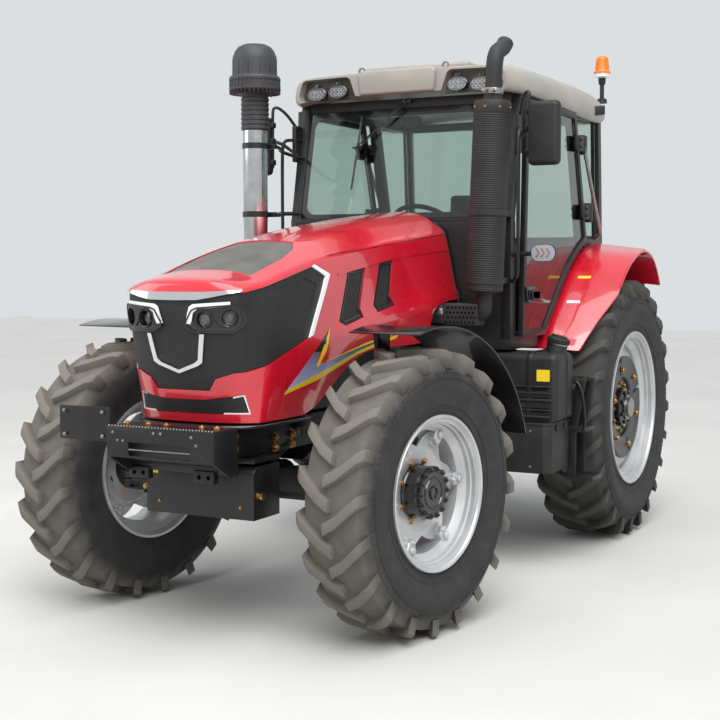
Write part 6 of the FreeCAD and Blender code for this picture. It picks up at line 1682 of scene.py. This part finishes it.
def swollen(item, cap):
    """Turn a block into a stuffed pad: even small faces, then air pressure, held to a cap."""
    modify(item, "REMESH", mode="VOXEL", voxel_size=0.006)
    cloth = item.modifiers.new("cloth", "CLOTH")
    cloth.settings.use_pressure = True
    cloth.settings.uniform_pressure_force = 4.0
    cloth.settings.effector_weights.gravity = 0.0
    cloth.point_cache.frame_end = 20
    scene = bpy.context.scene
    for frame_number in range(1, 21):
        scene.frame_set(frame_number)
    filled = item.evaluated_get(bpy.context.evaluated_depsgraph_get())
    reach = [point.co.copy() for point in filled.data.vertices]
    item.modifiers.remove(cloth)
    for point, place in zip(item.data.vertices, reach):
        move = place - point.co
        point.co += move * min(1.0, cap / max(move.length, 1e-9))
    scene.frame_set(1)
    return item


def sewn(item, lines, outward, depth):
    """Press sewn channels into a pad; a line is its axis and level, and the axis and span it runs on."""
    for point in item.data.vertices:
        for axis, level, across, low, high in lines:
            if low <= point.co[across] <= high:
                away = abs(point.co[axis] - level)
                if away < 0.014:
                    share = (1 - away / 0.014) ** 2
                    point.co -= outward * depth * share
    modify(item, "SUBSURF", levels=1)


def make_seat():
    """Padded driving seat with a sewn middle, piping, shell and arm rests."""
    pad = swollen(block("seat_pad", (-0.222, 0.738, 1.676), (0.222, 1.125, 1.772), 0.030, 4), 0.012)
    sewn(pad, [(0, -0.140, 1, 0.76, 1.10), (0, 0.140, 1, 0.76, 1.10), (1, 0.850, 0, -0.14, 0.14),
               (1, 0.950, 0, -0.14, 0.14)], Vector((0, 0, 1)), 0.006)
    done(pad, "seat_fabric", "chassis", None, 60)
    back = block("seat_back", (-0.205, -0.043, 0.004), (0.205, 0.043, 0.490), 0.036, 4)
    swollen(back, 0.012)
    sewn(back, [(0, -0.130, 2, 0.04, 0.45), (0, 0.130, 2, 0.04, 0.45), (2, 0.16, 0, -0.13, 0.13),
                (2, 0.30, 0, -0.13, 0.13)], Vector((0, -1, 0)), 0.006)
    back.data.transform(LEAN)
    done(back, "seat_fabric", "chassis", None, 60)
    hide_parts("seat_cushion")
    shell = block("seat_shell", (-0.190, 0.044, -0.05), (0.190, 0.058, 0.450), 0.006, 3)
    shell.data.transform(LEAN)
    pan = block("seat_pan", (-0.215, 0.745, 1.656), (0.215, 1.170, 1.676), 0.008, 3)
    done(joined("seat_shell", [shell, pan]), "black_plastic")
    line = [(x, y, 1.724) for x, y in pill((-0.224, 0.736), (0.224, 1.127), 0.045)]
    piping = tube("seat_piping", line, 0.0035, False, True)
    done(piping, "black_plastic")
    rests = []
    for x in (-0.262, 0.262):
        rests.append(block("arm_rest", (x - 0.028, 0.860, 1.925), (x + 0.028, 1.150, 1.962), 0.015, 4))
        rests.append(block("arm_hinge", (x - 0.012, 1.130, 1.900), (x + 0.012, 1.200, 1.980), 0.008, 3))
        rests.append(bar("arm_pivot", (x * 0.72, 1.195, 1.940), (x, 1.180, 1.940), 0.011))
    done(joined("arm_rests", rests), "black_plastic")
    belt = tube("belt_buckle", [(0.235, 1.115, 1.690), (0.250, 1.110, 1.760), (0.250, 1.100, 1.810)], 0.007)
    done(belt, "black_plastic")


def make_controls():
    """Dials, cowl, column stalks, levers and pedals."""
    cowl = stacked("dash_cowl", [(1.955, (-0.170, 0.100), (0.170, 0.290), 0.050),
                                 (2.000, (-0.172, 0.085), (0.172, 0.292), 0.055),
                                 (2.040, (-0.150, 0.110), (0.150, 0.270), 0.055),
                                 (2.052, (-0.120, 0.140), (0.120, 0.240), 0.045)], 8)
    done(cowl, "black_plastic")
    face = at(0, 0.300, 1.935) @ turn(-32, "X") @ REAR
    panel = round_plate("dial_panel", (-0.140, -0.045), (0.140, 0.050), 0.030, 0.010, face, 0.003)
    done(panel, "black_plastic", "chassis", GLOSS)
    dials, glass = [], []
    for x, radius in ((-0.085, 0.034), (0.0, 0.040), (0.085, 0.034)):
        stand = face @ at(x, 0.002, 0.010)
        dials.append(turned("dial_ring", [(radius - 0.004, 0), (radius, 0), (radius, 0.005),
                                          (radius - 0.002, 0.006), (radius - 0.004, 0.004)], stand, 32))
        dials.append(turned("dial_hub", [(0, 0), (0.005, 0), (0.004, 0.004), (0, 0.004)], stand, 12))
        needle = block("needle", (-0.001, 0, 0.002), (0.001, radius * 0.75, 0.003), 0.0004, 1)
        needle.data.transform(stand @ turn(40 * (1 if x < 0 else -1), "Z"))
        dials.append(needle)
        glass.append(turned("dial_face", [(0, 0), (radius - 0.004, 0), (radius - 0.004, 0.0012),
                                          (0, 0.0012)], stand, 32))
    done(joined("dial_rings", dials), "chrome_trim")
    done(joined("dial_faces", glass), "lamp_lens", "chassis", WHITE)
    stalks = [tube("stalk", [(side * 0.035, 0.335, 1.985), (side * 0.10, 0.330, 2.000),
                             (side * 0.165, 0.335, 2.010)], 0.006) for side in (-1, 1)]
    stalks += [block("stalk_grip", (side * 0.155 - 0.016, 0.326, 2.002),
                     (side * 0.155 + 0.016, 0.344, 2.019), 0.005, 3) for side in (-1, 1)]
    done(joined("column_stalks", stalks), "black_plastic")
    rods, knobs = [], ([], [])
    for x, y, lean, kind in ((0.300, 0.84, 0.02, 0), (0.345, 0.84, 0.02, 1), (0.390, 0.84, 0.02, 0),
                             (0.320, 1.02, -0.01, 1), (0.370, 1.02, -0.01, 0), (0.345, 1.18, 0.0, 1)):
        tip = (x, y + lean, 1.950)
        rods.append(bar("lever", (x, y, 1.825), tip, 0.006))
        rods.append(turned("boot", [(0, 0), (0.022, 0), (0.020, 0.010), (0.012, 0.020), (0.008, 0.034),
                                    (0, 0.034)], at(x, y, 1.838), 20))
        knobs[kind].append(turned("knob", [(0, 0), (0.010, 0), (0.016, 0.012), (0.017, 0.026),
                                           (0.011, 0.036), (0, 0.038)],
                                  at(tip[0], tip[1], tip[2] - 0.004), 24))
    done(joined("levers", rods), "bare_steel")
    for kind, paint in ((0, None), (1, YELLOW)):
        done(joined(f"lever_knobs_{kind}", knobs[kind]), "black_plastic", "chassis", paint)
    pedals = []
    for x in (-0.235, 0.205, 0.285):
        pedals.append(block("pedal", (x - 0.034, 0.130, 1.470), (x + 0.034, 0.190, 1.482), 0.004))
        pedals.append(tube("pedal_arm", [(x, 0.160, 1.474), (x, 0.120, 1.450), (x, 0.060, 1.500),
                                         (x, 0.010, 1.600), (x, -0.012, 1.620)], 0.009))
    done(joined("pedals", pedals), "black_frame")
    mirror = round_plate("inner_mirror", (-0.120, -0.032), (0.120, 0.032), 0.028, 0.014,
                         at(-0.040, 0.150, 2.690) @ turn(8, "X") @ REAR, 0.004)
    arm = tube("inner_mirror_arm", [(-0.040, 0.140, 2.695), (-0.040, 0.120, 2.740), (-0.040, 0.100, 2.790),
                                    (-0.040, 0.090, 2.830)], 0.006)
    done(joined("inner_mirror", [mirror, arm]), "black_plastic")
    silvered = round_plate("inner_mirror_glass", (-0.113, -0.026), (0.113, 0.026), 0.023, 0.001,
                           at(-0.040, 0.150, 2.690) @ turn(8, "X") @ REAR @ at(0, 0, 0.0135))
    done(silvered, "chrome_trim")


def make_beacon():
    """Amber flashing lamp in a white collar on its stalk."""
    stand = at(0.740, 1.690, 0)
    profile = [(0, 3.247), (0.026, 3.246), (0.038, 3.238)]
    for level in range(8):
        z = 3.228 - 0.0105 * level
        profile += [(0.0405 + 0.0012 * level, z), (0.0430 + 0.0012 * level, z - 0.005)]
    profile += [(0.0560, 3.142), (0.0590, 3.138), (0.0590, 3.130), (0, 3.130)]
    lens = turned("beacon_lens", profile, stand, 48)
    done(lens, "amber_lens")
    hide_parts("beacon")
    collar = turned("beacon_collar", [(0, 3.130), (0.050, 3.130), (0.052, 3.124), (0.048, 3.106),
                                      (0.030, 3.098), (0, 3.098)], stand, 48)
    done(collar, "lamp_lens", "chassis", WHITE)
    socket = turned("beacon_socket", [(0, 3.098), (0.026, 3.098), (0.024, 3.060), (0.015, 3.048),
                                      (0.015, 2.960), (0.034, 2.952), (0.036, 2.925), (0, 2.925)],
                    stand, 32)
    done(socket, "black_plastic")


def make_rear():
    """Tail lamps, blank plate, hydraulic couplers, splined power take-off, its guard and the top link."""
    face = at(0.900, 1.846, 1.640) @ REAR
    for name, left, right, half, out, thick, slot in (
            ("tail_lamps", -0.110, 0.110, 0.045, 0, 0.030, "black_plastic"),
            ("stop_lenses", -0.032, 0.032, 0.036, 0.028, 0.008, "red_paint"),
            ("turn_lenses", -0.102, -0.037, 0.036, 0.028, 0.008, "amber_lens"),
            ("tail_reflectors", 0.037, 0.102, 0.036, 0.028, 0.008, "lamp_lens")):
        corner, bevel = (0.008, 0.003) if out else (0.012, 0.004)
        lamp = round_plate(name, (left, -half), (right, half), corner, thick,
                           face @ at(0, 0, out), bevel)
        done(both(lamp), slot, "chassis")
    blank = round_plate("blank_plate", (-0.120, -0.055), (0.120, 0.055), 0.008, 0.002,
                        at(-0.400, 1.703, 1.800) @ REAR, 0.0006)
    done(blank, "lamp_lens", "chassis", WHITE)
    bolts("blank_plate_bolts", [(x, 1.7052, 1.800) for x in (-0.500, -0.300)], REAR, 0.006)
    valve = block("coupler_block", (-0.200, 1.690, 1.390), (0.200, 1.745, 1.500), 0.006)
    done(valve, "black_casting")
    couplers, caps = [], {}
    for i in range(6):
        stand = at(-0.160 + 0.064 * i, 1.745, 1.445) @ REAR
        couplers.append(turned("coupler", [(0, 0), (0.022, 0), (0.022, 0.014), (0.018, 0.018),
                                           (0.018, 0.030), (0, 0.030)], stand, 24))
        cap = turned("dust_cap", [(0, 0.028), (0.021, 0.028), (0.022, 0.044), (0.016, 0.050), (0, 0.051)],
                     stand, 24)
        caps.setdefault(i // 2, []).append(cap)
    done(joined("couplers", couplers), "bare_steel", "chassis", ZINC)
    for key, paint in ((0, RED), (1, YELLOW), (2, BLUE)):
        done(joined(f"dust_caps_{key}", caps[key]), "black_plastic", "chassis", paint)
    shaft = at(0, 1.615, 0.720) @ REAR
    core = turned("splined_shaft", [(0, 0), (0.040, 0), (0.040, 0.026), (0.026, 0.030), (0.026, 0.060),
                                    (0.022, 0.062), (0.022, 0.070), (0.026, 0.072), (0.026, 0.118),
                                    (0.023, 0.122), (0, 0.122)], shaft, 48)
    teeth = []
    for i in range(6):
        for low, high in ((0.031, 0.060), (0.072, 0.117)):
            tooth = block("spline", (0.022, -0.006, low), (0.0320, 0.006, high), 0.0015, 2)
            tooth.data.transform(shaft @ turn(60 * i, "Z"))
            teeth.append(tooth)
    spline = joined("splined_shaft", [core] + teeth)
    done(spline, "polished_steel", "pto_shaft")
    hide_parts("pto_shaft")
    guard = [(-0.120, 0.640), (-0.120, 0.800), (-0.095, 0.825), (0.095, 0.825), (0.120, 0.800),
             (0.120, 0.640), (0.114, 0.640), (0.114, 0.798), (0.092, 0.819), (-0.092, 0.819),
             (-0.114, 0.798), (-0.114, 0.640)]
    shield = plate("shaft_guard", [(-x, z) for x, z in guard[::-1]], 0.110, at(0, 1.690, 0) @ REAR)
    done(shield, "black_frame")
    link = [bar("link_tube", (0, 1.812, 1.020), (0, 1.812, 1.290), 0.019),
            bar("link_screw", (0, 1.812, 0.960), (0, 1.812, 1.350), 0.012)]
    for z in (0.945, 1.365):
        link.append(turned("link_eye", [(0.014, -0.018), (0.032, -0.018), (0.032, 0.018), (0.014, 0.018)],
                           at(0, 1.812, z) @ SIDE, 32))
    link.append(bar("link_pin", (-0.050, 1.812, 0.945), (0.050, 1.812, 0.945), 0.012))
    link.append(bar("link_pin", (-0.050, 1.812, 1.365), (0.050, 1.812, 1.365), 0.010))
    done(joined("top_link", link), "bare_steel")
    ears = []
    for x in (-0.034, 0.034):
        ears.append(block("ear", (x - 0.008, 1.700, 0.905), (x + 0.008, 1.842, 0.985), 0.006, 2))
        ears.append(block("ear", (x - 0.005, 1.690, 1.350), (x + 0.005, 1.832, 1.385), 0.005, 2))
    done(joined("top_link_ears", ears), "black_casting")


make_seat()
make_controls()
make_beacon()
make_rear()


hood = make_hood()
make_nose(hood)
make_hood_edges(hood)
make_wheels()
bpy.data.objects.remove(hood)


# Camera, light and floor

def make_stage():
    """A pale floor, an even pale world, a soft sun and three lamps."""
    camera = bpy.data.objects.new("camera", bpy.data.cameras.new("camera"))
    bpy.context.scene.collection.objects.link(camera)
    camera.location = (3.683, -7.516, 1.791)
    camera.rotation_euler = (math.radians(90 - 3.947), math.radians(0.038), math.radians(27.766))
    camera.data.lens = 67.61
    camera.data.sensor_width = 36
    bpy.context.scene.camera = camera

    bpy.ops.object.select_all(action="DESELECT")
    bpy.ops.mesh.primitive_plane_add(size=60, location=(0, 0, 0))
    floor = bpy.context.object
    floor.name = "floor"
    made, tree, shader, where = surface("pale_floor", Roughness=0.9)
    wear(tree, shader, where, [(0.3, "#c4c3bf"), (0.7, "#cccbc7")], 0.7, (0.85, 0.95))
    floor.data.materials.append(made)

    world = bpy.data.worlds.new("studio")
    bpy.context.scene.world = world
    world.use_nodes = True
    tree = world.node_tree
    tree.nodes.clear()
    ray = add(tree, "ShaderNodeLightPath")
    light = add(tree, "ShaderNodeBackground", {"Color": linear("#e9edf2"), "Strength": 0.75})
    seen = add(tree, "ShaderNodeBackground", {"Color": linear("#dcdfe1"), "Strength": 1.0})
    mirrored_ray = add(tree, "ShaderNodeMath", {"operation": "MAXIMUM"},
                       {0: ray.outputs["Is Glossy Ray"], 1: ray.outputs["Is Transmission Ray"]})
    direct = add(tree, "ShaderNodeMath", {"operation": "MAXIMUM"},
                 {0: mirrored_ray.outputs[0], 1: ray.outputs["Is Camera Ray"]})
    mix = add(tree, "ShaderNodeMixShader", links={0: direct.outputs[0], 1: light.outputs[0],
                                                  2: seen.outputs[0]})
    add(tree, "ShaderNodeOutputWorld", links={"Surface": mix.outputs[0]})

    sun = bpy.data.objects.new("sun", bpy.data.lights.new("sun", "SUN"))
    sun.data.energy = 2.0
    sun.data.angle = math.radians(45)
    sun.rotation_euler = Vector((0.45, -0.62, 1.0)).to_track_quat("Z", "Y").to_euler()
    bpy.context.scene.collection.objects.link(sun)
    for name, place, size, power in (("ceiling", (1.0, -2.0, 8.5), 6.0, 300),
                                     ("key", (4.5, -6.5, 6.5), 4.0, 160),
                                     ("fill", (-6.5, -4.0, 5.0), 5.0, 160)):
        lamp = bpy.data.lights.new(name, "AREA")
        lamp.size = size
        lamp.energy = power
        item = bpy.data.objects.new(name, lamp)
        bpy.context.scene.collection.objects.link(item)
        item.location = place
        aim = Vector((0, 0, 1.3)) - Vector(place)
        item.rotation_euler = aim.to_track_quat("-Z", "Y").to_euler()
    bpy.context.scene.view_settings.view_transform = "Standard"


make_stage()
